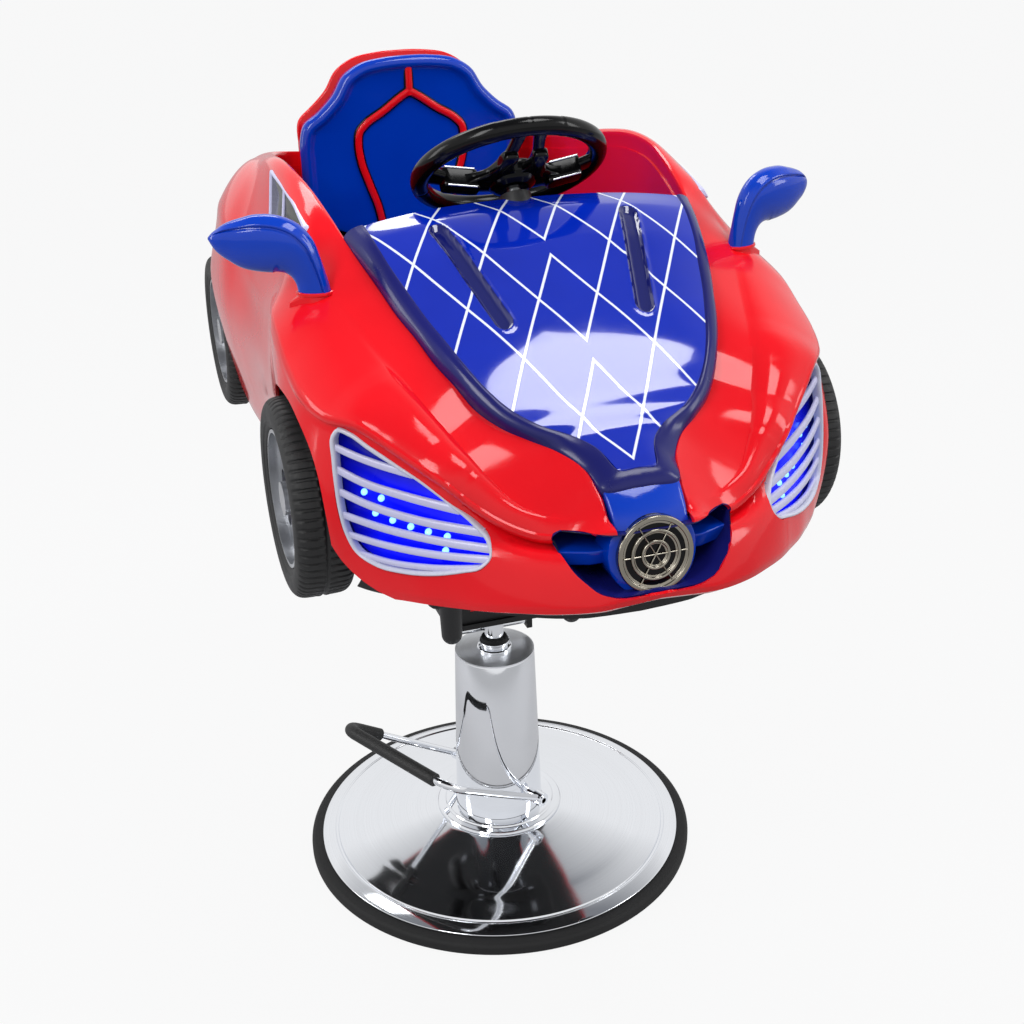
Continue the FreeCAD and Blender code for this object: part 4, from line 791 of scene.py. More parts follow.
lamp_outline = [(-45, 820), (-46.5, 796), (-50, 770), (-55, 742), (-62, 720), (-75, 701), (-100, 691),
                (-133, 690),
                (-167, 694), (-200, 702), (-221, 709), (-230, 721), (-225, 736), (-207, 752), (-181, 768),
                (-152, 784), (-120, 799.5), (-90, 814), (-64, 826), (-51, 828)]
lamp_edge = loop_through(lamp_outline, 90)


def drawn_in(outline, gap):
    """A closed outline moved inwards along its normals."""
    tangent = unit(np.roll(outline, -1, axis=0) - np.roll(outline, 1, axis=0))
    normal = np.stack([-tangent[:, 1], tangent[:, 0]], axis=1)
    area = np.sum(outline[:, 0] * np.roll(outline[:, 1], -1) - np.roll(outline[:, 0], -1) * outline[:, 1])
    return outline + normal * gap * np.sign(area)


# Outer side of the front and rear wheels and where their axles lie along the car, at one height
wheel_places = {"front": (325, -252), "rear": (300, 408)}
axle_height = 708


def arch_cutter(outer, y):
    """Round room for a wheel, open to the outside."""
    return turned([(0, 0), (127, 0), (127, 160), (0, 160)], (outer - 74, y, axle_height), (1, 0, 0), 120)


lamp_cutter = slab(lamp_edge, -60, 40, lamp_point)
recess_outline = eased([(-91, 747), (-46, 748.4), (46, 748.4), (91, 747), (99.5, 741), (85, 712), (64, 692),
                        (42, 685), (-42, 685),
                        (-64, 692), (-85, 712), (-99.5, 741)], 8, 5, closed=True)
nose_gap = [(-41.3, 712), (41.3, 712), (41.3, 792), (-41.3, 792)]


def front_place(x, z, depth):
    """Point in front view: depth runs forwards from the recess pan."""
    return np.stack([x, RECESS_PLANE - depth, z], axis=-1)


corner_outline = eased([(-330, 715), (-377, 707), (-387, 687), (-401, 671), (-418, 662), (-436, 655),
                        (-462, 648),
                        (-470, 620), (-330, 620)], [1, 1, 8, 10, 10, 8, 8, 1, 1], 5, closed=True)
corner_cutter = slab(corner_outline, 205, 345, side_place)
window_outline = eased([(-125, 978), (-64, 993.5), (2, 1003), (63, 1008.5), (45, 985), (17, 958), (0, 946),
                        (-128, 967)],
                       [3, 12, 12, 3, 12, 10, 8, 4], 6, closed=True)


def fit_window_face():
    """Face through the skin where the quarter window sits."""
    points = half_skin[:, 15:32].reshape(-1, 3)
    y, z = points[:, 1], points[:, 2]
    near = (y > -135) & (y < 75) & (z > 935) & (z < 1012)
    return fitted_face(points, y, points[:, 0], near)


window_face = fit_window_face()


def window_place(y, z, depth):
    """Point on the fitted face of the car's side, a depth out from it."""
    return np.stack([squares(y, z) @ window_face + depth, y, z], axis=-1)


window_cutter = slab(window_outline, -8, 40, window_place)
arches = [arch_cutter(*spot) for spot in wheel_places.values()]
made("car_body", [grid(whole_skin, wrap_rows=True)], "car", red_shell, "body_shell", "front_bumper", wall=4.0,
     cutters=pair(*arches, lamp_cutter, window_cutter, corner_cutter), openings=(recess_outline,
                                                                                 nose_gap), angle=34)


def make_pedestals():
    """Red foot under each mirror: an oval collar over flat faces that run down to a three-cornered
    footprint with its point at the front."""
    angle = circle(60)
    wide, narrow = unit([0.92, 0.39, 0]), unit([-0.39, 0.92, 0])
    oval = np.cos(angle)[:, None] * wide * 18.5 + np.sin(angle)[:, None] * narrow * 13.5
    corners = np.array([(286, -205, 916), (262, -188, 922), (232, -200, 926), (230, -233, 911),
                        (262, -226, 909)], float)
    foot = eased(corners, 3, 12, closed=True)
    turn = np.arctan2((foot - corners.mean(axis=0)) @ narrow, (foot - corners.mean(axis=0)) @ wide)
    order = np.argsort(turn % (2 * np.pi))
    foot = foot[order]
    centre = np.array([256.3, -210.5, 927.5])
    collar = [centre + oval * grow + UP * (rise - 0.1) for rise, grow in
              ((-3.5, 1.0), (-2.6, 1.1), (-1.0, 1.13), (0.6, 1.1), (1.0, 1.02), (0.4, 0.9))]
    rings = [foot + np.array([0, 0, -16.0]), foot] + collar
    made("mirror_pedestals", pair(capped(np.stack(rings))), "car", red_shell, angle=34)


make_pedestals()


# Hood: raised border and the printed panel

panel_edge = np.array([
    (0, -505, 794.5), (20.5, -504, 794.5), (31, -474, 808), (50, -454, 817), (80, -440, 828), (104, -419,
                                                                                               841),
    (122, -397, 858), (136, -371, 877), (148, -341, 896), (159, -311, 913), (169, -277, 933),
    (179, -242, 954), (186, -203, 974), (189, -172, 984)], float)
trim_edge = np.array([
    (0, -519, 780.5), (40, -516, 779.5), (49, -488, 791), (67, -461, 804), (91, -442, 813), (114, -421, 822),
    (133, -397, 836), (148, -372, 857), (161, -345, 874), (172, -312, 894), (183, -280, 911),
    (192, -242, 931), (202, -199, 951), (211, -160, 966)], float)
edge_knots = np.arange(len(panel_edge), dtype=float)
edge_at = np.linspace(0, len(panel_edge) - 1, 170)


def make_trim():
    """Border swept between the panel's edge and the rim: a round bead on the sides that flattens and
    widens at the nose, with its inner edge dropped under the panel."""
    inner = smooth(panel_edge, edge_knots, edge_at)
    outer = smooth(trim_edge, edge_knots, edge_at)
    inward = unit((inner - outer) * FLAT)
    up = UP
    bulge = np.clip(smooth([2.0, 2, 2, 3, 5] + [6.5] * 9, edge_knots, edge_at), 1, 9)[:, None]
    normal = unit(np.cross(np.gradient(outer, axis=0), inner - outer))
    normal = normal * np.sign(normal[:, 2:])
    columns = [outer + inward * 3 - up * 14, outer + inward * 0.6 - up * 5, outer - up * 1.5]
    for share in np.linspace(0.04, 0.96, 16):
        rise = np.sin(np.pi * share)**0.7
        columns.append(outer + (inner - outer) * share + normal * bulge * rise + up * 1.2)
    columns += [inner + inward * 0.2 + up * 0.2, inner + inward * 1.0 - up * 4,
                inner + inward * 1.4 - up * 13]
    half = np.stack(columns, axis=1)
    whole = np.concatenate([half[::-1] * MIRRORED, half[1:]])
    made("hood_border", [grid(whole)], "car", navy_trim, "hood_trim", wall=2.5, angle=50)


make_trim()


def make_panel():
    """Panel lofted across between its two edges, its rear edge bowed back towards the driver. Two long
    round-ended dishes are pressed into it."""
    along = smooth(panel_edge[1:], edge_knots[1:], np.linspace(1, len(panel_edge) - 1, 190))
    share = np.linspace(-1, 1, 161)
    half_width = along[:, :1]
    bow = np.interp(along[:, 1], [-500, -240, -172], [0, 6, 24])[:, None]
    x = half_width * share
    y = along[:, 1:2] + bow * (1 - share**2)
    y_edge = np.broadcast_to(along[:, 1:2], x.shape)
    crown = np.interp(y_edge, [-500, -440, -300, -200, -150], [0.5, 3, 9, 11, 3])
    z = along[:, 2:3] + crown * (1 - np.abs(share)**3.2) + bow * 0.12 * (1 - share**2)
    way = unit(slot_end - slot_start)
    reach = math.dist(slot_start, slot_end)
    offset = np.stack([np.abs(x), y], axis=-1) - slot_start
    run = np.clip(offset @ way, 0, reach)
    away = np.linalg.norm(offset - run[..., None] * way, axis=-1)
    fall = np.clip((10.4 - away) / 4.4, 0, 1)
    lip = np.exp(-((away - 11.6) / 1.4)**2) * 1.2
    z = z - 4.8 * fall**2 * (3 - 2 * fall) + lip
    top = np.stack([x, y, z], axis=-1)
    left, right = top[:, :1] - UP * 2, top[:, -1:] - UP * 2
    top = np.concatenate([left - UP * 7, left, top, right, right - UP * 7], axis=1)
    front = top[:1] + np.array([0, -0.8, -3])
    back = top[-1:] + np.array([0, 1.2, -1.6])
    under = back + np.array([0, -0.6, -9])
    made("hood_shell", [grid(np.concatenate([front, top, back, under]))], "car", hood_paint, "hood_panel",
         wall=2.2, angle=50)


make_panel()


def make_liner():
    """Inner wall of the cockpit: it hangs from the body's turned-in rim down to the floor tray."""
    at = np.linspace(skin_knots[5], skin_knots[-1], 150)
    rim, crease = flow(rim_row, at), flow(crease_row, at)
    inward = unit((rim - crease) * FLAT)
    inward[-1, 0] = 0
    top = rim + inward * 2.4 - np.array([0, 0, 22.0])
    foot = rim + inward * 4
    levels = []
    for share in np.linspace(0, 1, 14):
        row = top + (foot - top) * share
        row[:, 2] = top[:, 2] + (655 - top[:, 2]) * share
        levels.append(row)
    half = np.stack(levels, axis=1)
    half[-1, :, 0] = 0
    made("cockpit_walls", pair(grid(half)), "car", red_shell, wall=2.0, angle=50)


make_liner()


# Nose: blue panel with its round boss, dark recess, bars and ringed grille

nose_levels = np.array([786, 783, 776, 768, 760, 752, 746, 740, 732, 724, 716, 708, 700, 692, 685, 679, 675,
                        673.2])
nose_front = smooth([-511.5, -514.5, -523.5, -534, -543, -547.2, -550.2, -552.2, -554.5],
                    [-786, -783, -776, -766, -755, -745, -720, -700, -673], -nose_levels)
nose_half = np.array([40.5, 40.5, 40, 39.4, 38.8, 38.4, 39.6, 42.5, 45.4, 46.8, 46.8, 45.4, 42.5, 37.7, 31.2,
                      22.7, 13.5, 5.0])


def skin_front(x, z):
    """How far forward the skin lies at points of the front view, by its nearest point there."""
    points = half_skin[:, 31:62].reshape(-1, 3)
    points = points[points[:, 1] < -440]
    apart = (np.abs(x)[:, None] - points[:, 0])**2 + (z[:, None] - points[:, 2])**2
    return points[apart.argmin(axis=1), 1]


def make_nose():
    """Panel of level rows: each row bows back towards its two ends and then turns in, the round boss
    swelling out of it. The pan is the recess outline carried back, with a flat bottom."""
    share = np.linspace(-1, 1, 25)
    fine = np.linspace(0, len(nose_levels) - 1, 70)
    knots = np.arange(len(nose_levels), dtype=float)
    z, y, half = (smooth(v, knots, fine)[:, None] for v in (nose_levels, nose_front, nose_half))
    x = half * share
    front = np.stack([x, y + 4.5 * np.abs(share)**2.6 * half / 40, np.broadcast_to(z, x.shape)], axis=-1)
    left, right = front[:, :1], front[:, -1:]
    turned_in = [np.concatenate([side + np.array([way * 0.8, 1.2, 0]), side + np.array([way, 4, 0]),
                                 side + np.array([way, 34, 0])], axis=1)
                 for side, way in ((left, -1), (right, 1))]
    sheet = np.concatenate([turned_in[0][:, ::-1], front, turned_in[1]], axis=1)
    top = sheet[:1] + np.array([0, 1.5, 0.8])
    back = sheet[:1] * np.array([1, 0, 1]) + np.array([0, -478.0, 0.8])
    made("nose_cover", [grid(np.concatenate([back, top, sheet]))], "car", blue_shell, "nose_panel", wall=2.0,
         angle=45)
    inner = drawn_in(recess_outline, 0.6)
    low = (inner[:, 1:] < 735).astype(float)
    depths = [(0.4 - 2.4 * low, 38), (-1.0 * low, 20), (0.0, 0), (1.5, -12), (4.0, -27), (14.0, -29)]
    rings = np.stack([front_place(*drawn_in(inner, gap).T, np.full(len(inner), depth)) for gap,
                      depth in depths])
    rings[0, :, 1] = np.clip(skin_front(rings[0, :, 0], rings[0, :, 2]) + 2.6, -564, -503)
    floor_ring = np.broadcast_to(rings[-1:].mean(axis=1, keepdims=True), rings[-1:].shape)
    made("recess_pan", [grid(np.concatenate([rings, floor_ring]), wrap_columns=True)], "car", navy_trim,
         "grille_recess", wall=1.6, angle=45)
    section = eased([(-534, 725), (-471, 722), (-471, 710), (-530, 708)], [2.5, 0.5, 0.5, 2.5], 5,
                    closed=True)
    x = np.linspace(40, 97, 12)
    sag = np.interp(x, [40, 60, 97], [0, 0, 14])
    rings = np.stack([np.stack([np.full(len(section), v), section[:, 0] + s, section[:, 1]], axis=-1)
                      for v, s in zip(x, sag)])
    made("recess_bars", pair(capped(rings)), "car", blue_shell, angle=40)


make_nose()

grille_centre = np.array([0, -550.5, 720.0])
grille_way = np.array([0, -math.cos(math.radians(5.7)), math.sin(math.radians(5.7))])


def stepped_ring(inner, outer):
    """Ring about the grille's axis whose rounded face has a low step along its inner side."""
    step = inner + 0.34 * (outer - inner)
    section = eased([(inner, -3), (inner, 1.7), (step, 2.2), (step + 0.5, 3.7), (outer - 0.9, 4.3),
                     (outer, 2.6), (outer, -3)], 0.8, 5, closed=True)
    return turned(section, grille_centre, grille_way, 120, closed=True)


def make_grille():
    """Three stepped rings about one centre and six thin straight spokes that meet in it."""
    parts = [stepped_ring(32.4, 41.0), stepped_ring(21.8, 27.2), stepped_ring(10.8, 16.0)]
    first, second = across(grille_way)
    for number in range(6):
        angle = math.radians(30 + number * 60)
        way = first * math.cos(angle) + second * math.sin(angle)
        path = grille_centre + grille_way * 2.2 + way * np.linspace(0.0, 34.0, 8)[:, None]
        parts.append(pipe(path, 0.85, 1.0, grille_way, 10))
    made("ring_grille", parts, "car", nickel, "round_grille")
    dish = [(0, 0.9), (39, 0.9), (40.6, 0.4), (40.6, -9), (0, -9)]
    made("grille_back", [turned(dish, grille_centre, grille_way, 72)], "car", gloss_black)


make_grille()


# Lamps: pocket, lit board, diodes, silver frame and curved bars

bar_lines = [
    [(-46, 807.5), (-74, 800), (-98, 795), (-137, 789)], [(-49, 785), (-80, 775.5), (-128, 767.5),
                                                          (-190, 760)],
    [(-52, 762), (-84, 754), (-140, 746), (-217, 741.5)], [(-57, 737.5), (-102, 732), (-160, 728.5),
                                                           (-228, 727)],
    [(-65, 717), (-104, 714.5), (-160, 714), (-229, 717)], [(-77, 699.5), (-112, 697.3), (-160, 700),
                                                            (-220, 708)]]
bar_wide = [3.7, 4.0, 4.0, 3.9, 3.6, 3.0]


def lamp_grid(outline, depth):
    """Rows of a flat outline laid over the lamp face at a depth."""
    return lamp_point(outline[:, 0], outline[:, 1], depth)


def make_lamps():
    """The frame is the outline drawn in by steps with a rounded top. The bars follow smooth lines over
    the lamp's face, thickest in their middle. The pocket is the outline carried back to the board."""
    steps = [(0.2, -8), (0.0, -1), (0.1, 1.6), (0.4, 2.3), (0.8, 2.1), (1.1, 1.0), (1.2, -2), (1.25, -8)]
    high = np.clip((lamp_edge[:, 1] - 730) / 60, 0, 1) * np.clip((-lamp_edge[:, 0] - 40) / 60, 0.45, 1)
    wide = 3.1 + 2.2 * high * np.clip((140 + lamp_edge[:, 0]) / 60, 0, 1)
    rings = np.stack([lamp_grid(drawn_in(lamp_edge, (gap * wide)[:, None]), depth) for gap, depth in steps])
    made("lamp_frames", pair(grid(rings, wrap_rows=True, wrap_columns=True)), "car", frame_silver,
         "lamp_louvres", angle=60)
    bars = []
    for line, wide in zip(bar_lines, bar_wide):
        path = through(np.array(line, float), 40)
        run = np.linspace(0, 1, 40)
        half = wide * (0.95 + 0.1 * run)
        normal = unit(np.stack([-np.gradient(path[:, 1]), np.gradient(path[:, 0])], axis=1))
        angle = circle(16)
        spread = np.cos(angle)[None, :, None] * half[:, None, None] * normal[:, None]
        place = path[:, None] + spread
        depth = -3.4 + 2.4 * np.sign(np.sin(angle)) * np.abs(np.sin(angle))**0.5
        bars.append(capped(lamp_point(place[..., 0], place[..., 1], np.broadcast_to(depth, place.shape[:2]))))
    made("lamp_bars", pair(*bars), "car", silver, angle=60)
    inside = drawn_in(lamp_edge, 0.8)
    wall = np.stack([lamp_grid(inside, depth) for depth in (-1.5, -12, -24, -30)])
    made("lamp_pockets", pair(grid(wall, wrap_columns=True)), "car", navy_trim, "lamp_housings", wall=1.4)
    back = drawn_in(lamp_edge, 1.2)
    rings = np.stack([lamp_grid(drawn_in(back, gap), depth) for gap,
                      depth in ((0, -17), (0, -14), (1.5, -13))])
    made("lamp_lit_boards", pair(capped(rings)), "car", lamp_glow, "lamp_boards", "lamp_lenses")
    dots = []
    spots = [(-78.6, 761.6), (-98.7, 758), (-92.6, 741.8), (-113, 737.5), (-134, 734), (-154, 731.5),
             (-175, 729.5),
             (-174.5, 715.5)]
    for u, z in spots:
        angle = circle(20)
        rings = np.stack([lamp_point(u + r * np.cos(angle), z + r * np.sin(angle), np.full(20, -13 + d))
                          for r, d in ((3.6, 0), (3.6, 1.4), (3.0, 2.8), (1.8, 3.7), (0.6, 4.1))])
        dots.append(capped(rings))
    made("lamp_diodes", pair(*dots), "car", diode_glow)


make_lamps()


# Door mirrors

def make_mirrors():
    """Neck and head swept along one line that bends outwards: an oval section that swells into a drop
    and runs out to a point, flattened at the back where the glass sits."""
    line = np.array([(256.3, -210.5, 925), (257.6, -210, 934), (260, -209, 944), (265, -207, 956.5),
                     (273, -204, 968),
                     (283, -200.5, 976), (294, -196.5, 980), (307, -192, 981.3), (321, -187, 982),
                     (336, -181.7, 984), (350, -176.7, 985.8), (356.5, -174.3, 986.9), (360.4, -173, 987.3)])
    wide = np.array([17.8, 17.3, 17.4, 20, 26, 30, 31.2, 31, 28.8, 22.6, 13.6, 6.6, 1.2])
    deep = np.array([12.5, 12, 12, 13, 15, 17, 18, 18, 17, 14, 9.5, 5.5, 0.8])
    knots = chords(line)
    at = np.linspace(0, knots[-1], 80)
    path, width, depth = smooth(line, knots, at), smooth(wide, knots, at), smooth(deep, knots, at)
    side_up = unit(np.array([0.36, -0.93, 0]))
    width, depth = np.maximum(width, 0.6), np.maximum(depth, 0.4)
    rings = rings_along(path, width, depth, side_up, 160, 2.2)
    out = (rings - path[:, None]) @ side_up
    side = unit(np.cross(unit(np.gradient(path, axis=0)), side_up))
    reach = np.einsum("ijk,ik->ij", rings - path[:, None], side) / width[:, None]
    reach = reach * np.sign(side[len(side) // 2, 2])
    head = np.clip((at - knots[4]) / 12, 0, 1)[:, None] * np.clip((knots[10] - at) / 14, 0, 1)[:, None]
    limit = -11.5 + (1 - head) * -12
    over = np.minimum(out - limit, 0)
    rings = rings - over[..., None] * side_up
    band = np.clip((reach - 0.66) / 0.05, 0, 1) + 0.8 * np.exp(-((reach - 0.76) / 0.07)**2)
    band = band - 0.9 * np.exp(-((reach - 0.63) / 0.04)**2)
    front = np.clip(out / 5, 0, 1) * np.clip((knots[-2] - at) / 10, 0, 1)[:, None]
    rings = rings + (band * front)[..., None] * side_up * 1.3
    made("mirror_heads", pair(capped(rings)), "car", blue_shell, "mirror_shells", angle=50)
    centre = np.array([311, -190.6, 980.5]) - side_up * 11.6
    along = unit(line[9] - line[6])
    rise = unit(np.cross(side_up, along))
    angle = circle(48)
    rings = np.stack([centre - side_up * d + g * (34 * np.cos(angle)[:, None] * along
                                                  + 19 * np.sin(angle)[:, None] * rise)
                      for d, g in ((-1, 1.0), (0.4, 1.0), (0.9, 0.97))])
    made("mirror_panes", pair(capped(rings)), "car", mirror_glass, "mirror_glasses", angle=40)


make_mirrors()


# Seat: bucket back with a moulded ridge, pan with bolsters, red strips edged by black strips of painted
# groove shade

seat_half = [(0, 786), (120, 786), (160, 792), (163, 830), (163, 900), (163, 960), (162.5, 990),
             (155.5, 1013.5),
             (132, 1031.5), (111, 1052), (94, 1078), (70, 1093), (36, 1099.5)]
seat_outline = loop_through(seat_half + [(0, 1101)] + [(-x, z) for x, z in seat_half[:0:-1]], 220)


def seat_place(x, z, depth):
    """Point in front view: depth runs back from the seat back's front plane."""
    return np.stack([x, SEAT_BACK_PLANE + depth, z], axis=-1)


def make_seat_back():
    """Outline carried from the back face round its edge to the front, up over a rounded ridge and down
    into the hollow, which then closes on the middle line."""
    steps = [(20, 53), (10, 52), (7.6, 49), (6.6, 44), (3, 26), (0.6, 12), (0.6, 8), (2.8, 4), (6.5, 1.2),
             (10.5, 0.2), (14, 0.9), (16.4, 3.2), (18.6, 5.4), (22, 6.2)]
    rings = [seat_place(*drawn_in(seat_outline, gap).T, np.full(len(seat_outline), depth))
             for gap, depth in steps]
    last = rings[-1]
    core = np.stack([np.zeros(len(last)), last[:, 1], np.clip(last[:, 2], 840, 1040)], axis=1)
    for share in (0.25, 0.5, 0.75, 1.0):
        ring = last + (core - last) * share
        ring[:, 1] = last[:, 1] + 3.0 * share**0.5
        rings.append(ring)
    back_core = np.stack([np.zeros(len(last)), np.full(len(last), 375.5), core[:, 2]], axis=1)
    made("seat_back", [grid(np.stack([back_core] + rings), wrap_columns=True)], "car", blue_shell,
         "seat_shell", angle=60)


def make_seat_pan():
    """Level sections from front to back: the bolsters grow out of the flat front and run up into the
    back. Each section is a closed row of points about the pan's own hollow."""
    sections = []
    for y, bolster, squeeze in [(41, 803, 0.965), (43, 809, 0.985), (50, 815, 1), (70, 820, 1), (110, 834, 1),
                                (160, 856, 1), (210, 869, 1), (260, 873, 1), (323, 876, 1)]:
        seat = 803 if y < 42 else 815 - 6 * (y - 180)**2 / 140**2 * (-1 if y < 180 else 1) * 0.3
        half = [(0, 781), (144, 781), (156, 785), (159, 795), (159, max(bolster - 14, 798)),
                (155.5, bolster - 4),
                (145, bolster), (134, bolster - 4), (125, max(bolster - 18, seat + 1)), (114, seat + 2.5),
                (60, seat), (0, seat - 1)]
        loop = np.array(half + [(-x, z) for x, z in half[-2:0:-1]])
        dense = loop_through(loop, 120) * np.array([squeeze, 1])
        sections.append(np.stack([dense[:, 0], np.full(len(dense), float(y)), dense[:, 1]], axis=1))
    rows = smooth(np.array(sections), [0, 1, 2, 3, 4, 5, 6, 7, 8], np.linspace(0, 8, 50))
    made("seat_pan", [capped(rows)], "car", blue_shell, angle=50)


strip_line = [(0, 1052), (-12, 1045), (-40, 1026), (-66, 1010), (-76, 999), (-78.5, 984), (-76, 958),
              (-65, 922),
              (-55, 892), (-49.5, 862), (-47.5, 822)]
strip_stem = [(0, 1090), (0, 1075), (0, 1058), (0, 1046)]


def strip(line, half, rise, count):
    """Flat-topped strip with rounded sides, laid along a line on the seat's face."""
    path = through(np.array(line, float), count)
    path = np.stack([path[:, 0], np.full(count, 330.2), path[:, 1]], axis=1)
    return pipe(path, half, rise, (0, 1, 0), 20, 2.6)


def make_strips():
    """Red strips on the seat's back, each over a wider black strip of painted shade that stands for the
    shadow in its groove, and the red shell behind it.
    """
    side = strip(strip_line, 5.4, 5.2, 90)
    stem = strip(strip_stem, 5.4, 5.2, 24)
    made("seat_inlays", pair(side) + [stem], "car", red_shell, "seat_strips", angle=60)
    # Painted shade: wider gloss black strips under the red ones stand for the shadow in the grooves.
    made("seat_groove_painted_shade", pair(strip(strip_line, 7.2, 3.4, 90)) + [strip(strip_stem, 7.2, 3.4, 24)], "car",
         gloss_black, angle=60)
    grown = drawn_in(seat_outline, np.interp(seat_outline[:, 1:], [985, 1030], [7.0, -2.0]))
    grown[:, 1] = np.clip(grown[:, 1], 786, None)
    made("seat_red_back", [slab(grown, 51.5, 60, seat_place, 2.4)], "car", red_shell, "seat_backing",
         angle=50)


make_seat_back()
make_seat_pan()
make_strips()


# Steering wheel, built flat about its own centre and then tilted into place

wheel_tilt = math.radians(34.6)
wheel_y, wheel_z = -115.4, 1022.8


def on_wheel(part):
    """Part from the wheel's own frame, x right, y to the driver and z out of it, in its place."""
    x, y, z = part[0].T
    across_y = y * math.cos(wheel_tilt) + z * math.sin(wheel_tilt)
    up_z = z * math.cos(wheel_tilt) - y * math.sin(wheel_tilt)
    return np.stack([x, across_y + wheel_y, up_z + wheel_z], axis=1), part[1]


def make_steering_wheel():
    """Ring of an oval section with fine seams round it, a bell-shaped hub, two wide side arms and two
    narrow arms that close towards each other at the rim."""
    angle = circle(360)
    turn = circle(28)
    seam = np.zeros(360)
    for spot in (-111, -92, -72, 20, 160):
        apart = np.degrees(np.angle(np.exp(1j * (angle - math.radians(spot)))))
        seam += np.exp(-(apart / 0.28)**2)
    between = np.degrees(np.angle(np.exp(1j * (angle + math.radians(91.5)))))
    wide = 11.0 * (1 - 0.045 * seam) - 0.35 * (np.abs(between) < 19)
    ring = np.stack([np.cos(angle), np.sin(angle), np.zeros(360)], axis=1)[:, None]
    square = np.sign(np.cos(turn)) * np.abs(np.cos(turn))**0.92
    rise = np.sign(np.sin(turn)) * np.abs(np.sin(turn))**0.92
    points = (ring * (106 + wide[:, None, None] * square[None, :, None])
              + UP * wide[:, None, None] * 0.97 * rise[None, :, None])
    parts = [on_wheel(grid(points, wrap_rows=True, wrap_columns=True))]
    bell = [(0, -29), (17, -29), (21, -28), (27, -24), (32, -17), (34, -9), (33.5, -4.5), (29, -2.4),
            (0, -2.4)]
    parts.append(on_wheel(turned(eased(bell, 1.5), (0, 0, 0), (0, 0, 1), 72)))
    for side in (-1, 1):
        path = through(np.array([(12, 3, -17), (34, 2, -16.5), (62, 0, -13), (88, -2, -5), (106, -3, -1)]),
                       30)
        path = path * np.array([side, 1, 1])
        wide = smooth([19, 15.5, 12, 12.5, 17], [0, 1, 2, 3, 4], np.linspace(0, 4, 30))
        parts.append(on_wheel(pipe(path, wide, 6.0, (0, 0, 1), 28, 3.2)))
        path = through(np.array([(24, -14, -17), (21, -38, -14.5), (16, -66, -10), (12.5, -90, -4),
                                 (12, -106, -1)]), 30) * np.array([side, 1, 1])
        wide = smooth([12, 8.5, 6.8, 6.8, 9], [0, 1, 2, 3, 4], np.linspace(0, 4, 30))
        parts.append(on_wheel(pipe(path, wide, 5.2, (0, 0, 1), 24, 3.2)))
    web = [(72, 11), (73, -10), (52, -15), (37, -26), (29, -44), (23, -70), (11, -70), (9.5, -48), (6, -34),
           (-6, -20), (-6, 14), (30, 17)]
    web = loop_through(web, 90)
    plate = slab(web, -20.5, -9.5, level_place, 2.4)
    parts += [on_wheel(plate), on_wheel(flipped(plate))]
    made("driving_wheel", parts, "steering", gloss_black, "steering_wheel", angle=60)
    pads, edges = [], []
    for side in (-1, 1):
        path = np.linspace((43, 0.5, -15.0), (84, -2, -9.0), 14) * np.array([side, 1, 1])
        wide = np.concatenate([[10.5, 12.6], np.full(10, 13.0), [12.6, 10.5]])
        pads.append(on_wheel(pipe(path, wide, 12.5, (0, 0, 1), 32, 6.0)))
        for high in (-11.0, 11.0):
            line = path[1:-1] + np.array([0, -12.6, high])
            edges.append(on_wheel(pipe(line, 1.3, 1.3, (0, 0, 1), 10)))
    made("arm_pads", pads, "steering", gloss_black, "wheel_inserts", angle=50)
    made("pad_edges", edges, "steering", chrome, angle=60)


make_steering_wheel()


# Tyres: ribbed tread in two offset halves, round shoulders and a beaded side wall

def make_tyres():
    """Section carried round the axle. Ribs are pressed into the tread by a wave of the angle that is cut
    off flat, set half a rib apart on the two sides of the middle groove."""
    section = np.array([(78.2, 24), (79.5, 28.5), (83, 30.2), (86, 30.6), (87.5, 31.9), (90, 32.2),
                        (96, 32.9),
                        (101, 32.4), (105.5, 31.0), (109, 28.6), (111.6, 25.2), (112.9, 21), (113.4, 15),
                        (113.5, 8), (113.5, 2.6), (112.2, 1.4), (111.8, 0)])
    fine = through(section, 46)
    whole = np.concatenate([fine, fine[-2::-1] * np.array([1, -1])])
    angle = circle(660)[:, None]
    radius, width = whole[:, 0], whole[:, 1]
    tread = np.clip((radius - 106) / 3, 0, 1) * np.clip((np.abs(width) - 2.4) / 1.0, 0, 1)
    phase = angle * 66 + np.where(width > 0, 0.0, np.pi) + 0.02 * np.abs(width)
    press = np.clip(np.sin(phase) * 3 - 1.2, 0, 1)
    deep = radius - 1.7 * press * tread
    for end, hand in (("front", "right"), ("front", "left"), ("rear", "right"), ("rear", "left")):
        name, side, (outer, y) = end + "_" + hand, 1 if hand == "left" else -1, wheel_places[end]
        x = np.broadcast_to(side * (outer - 33 + width), deep.shape)
        points = np.stack([x, y + deep * np.cos(angle), axle_height + deep * np.sin(angle)], axis=-1)
        made("road_tyre_" + name, [grid(points, wrap_rows=True)], name + "_wheel", tyre_rubber,
             "tyre_" + name,
             angle=50)


make_tyres()


# Quarter windows

def make_windows():
    """Silver frame with a rounded face along the window's outline, a bar that parts it in two, and a thin
    dark pane inside it."""
    steps = [(0.4, -7), (-0.6, 0.2), (-0.2, 1.4), (0.8, 1.9), (2.2, 1.7), (2.9, 0.8), (3.0, -5)]
    outline = np.array(window_outline)
    rings = [window_place(*drawn_in(outline, gap).T, np.full(len(outline), depth)) for gap, depth in steps]
    line = np.linspace((-12.5, 998.5), (-52, 958), 16)
    angle = circle(16)
    bar = np.stack([window_place(line[:, 0] + 2.0 * math.cos(a), line[:, 1],
                                 np.full(16, -0.6 + 1.9 * math.sin(a)))
                    for a in angle], axis=1)
    made("quarter_frames", pair(grid(np.stack(rings), wrap_rows=True, wrap_columns=True), capped(bar)), "car",
         silver, "window_frames", angle=50)
    made("quarter_panes", pair(slab(drawn_in(outline, 2.4), -2.6, -0.9, window_place, 0.4)), "car",
         window_glass, "window_panes", angle=50)


make_windows()


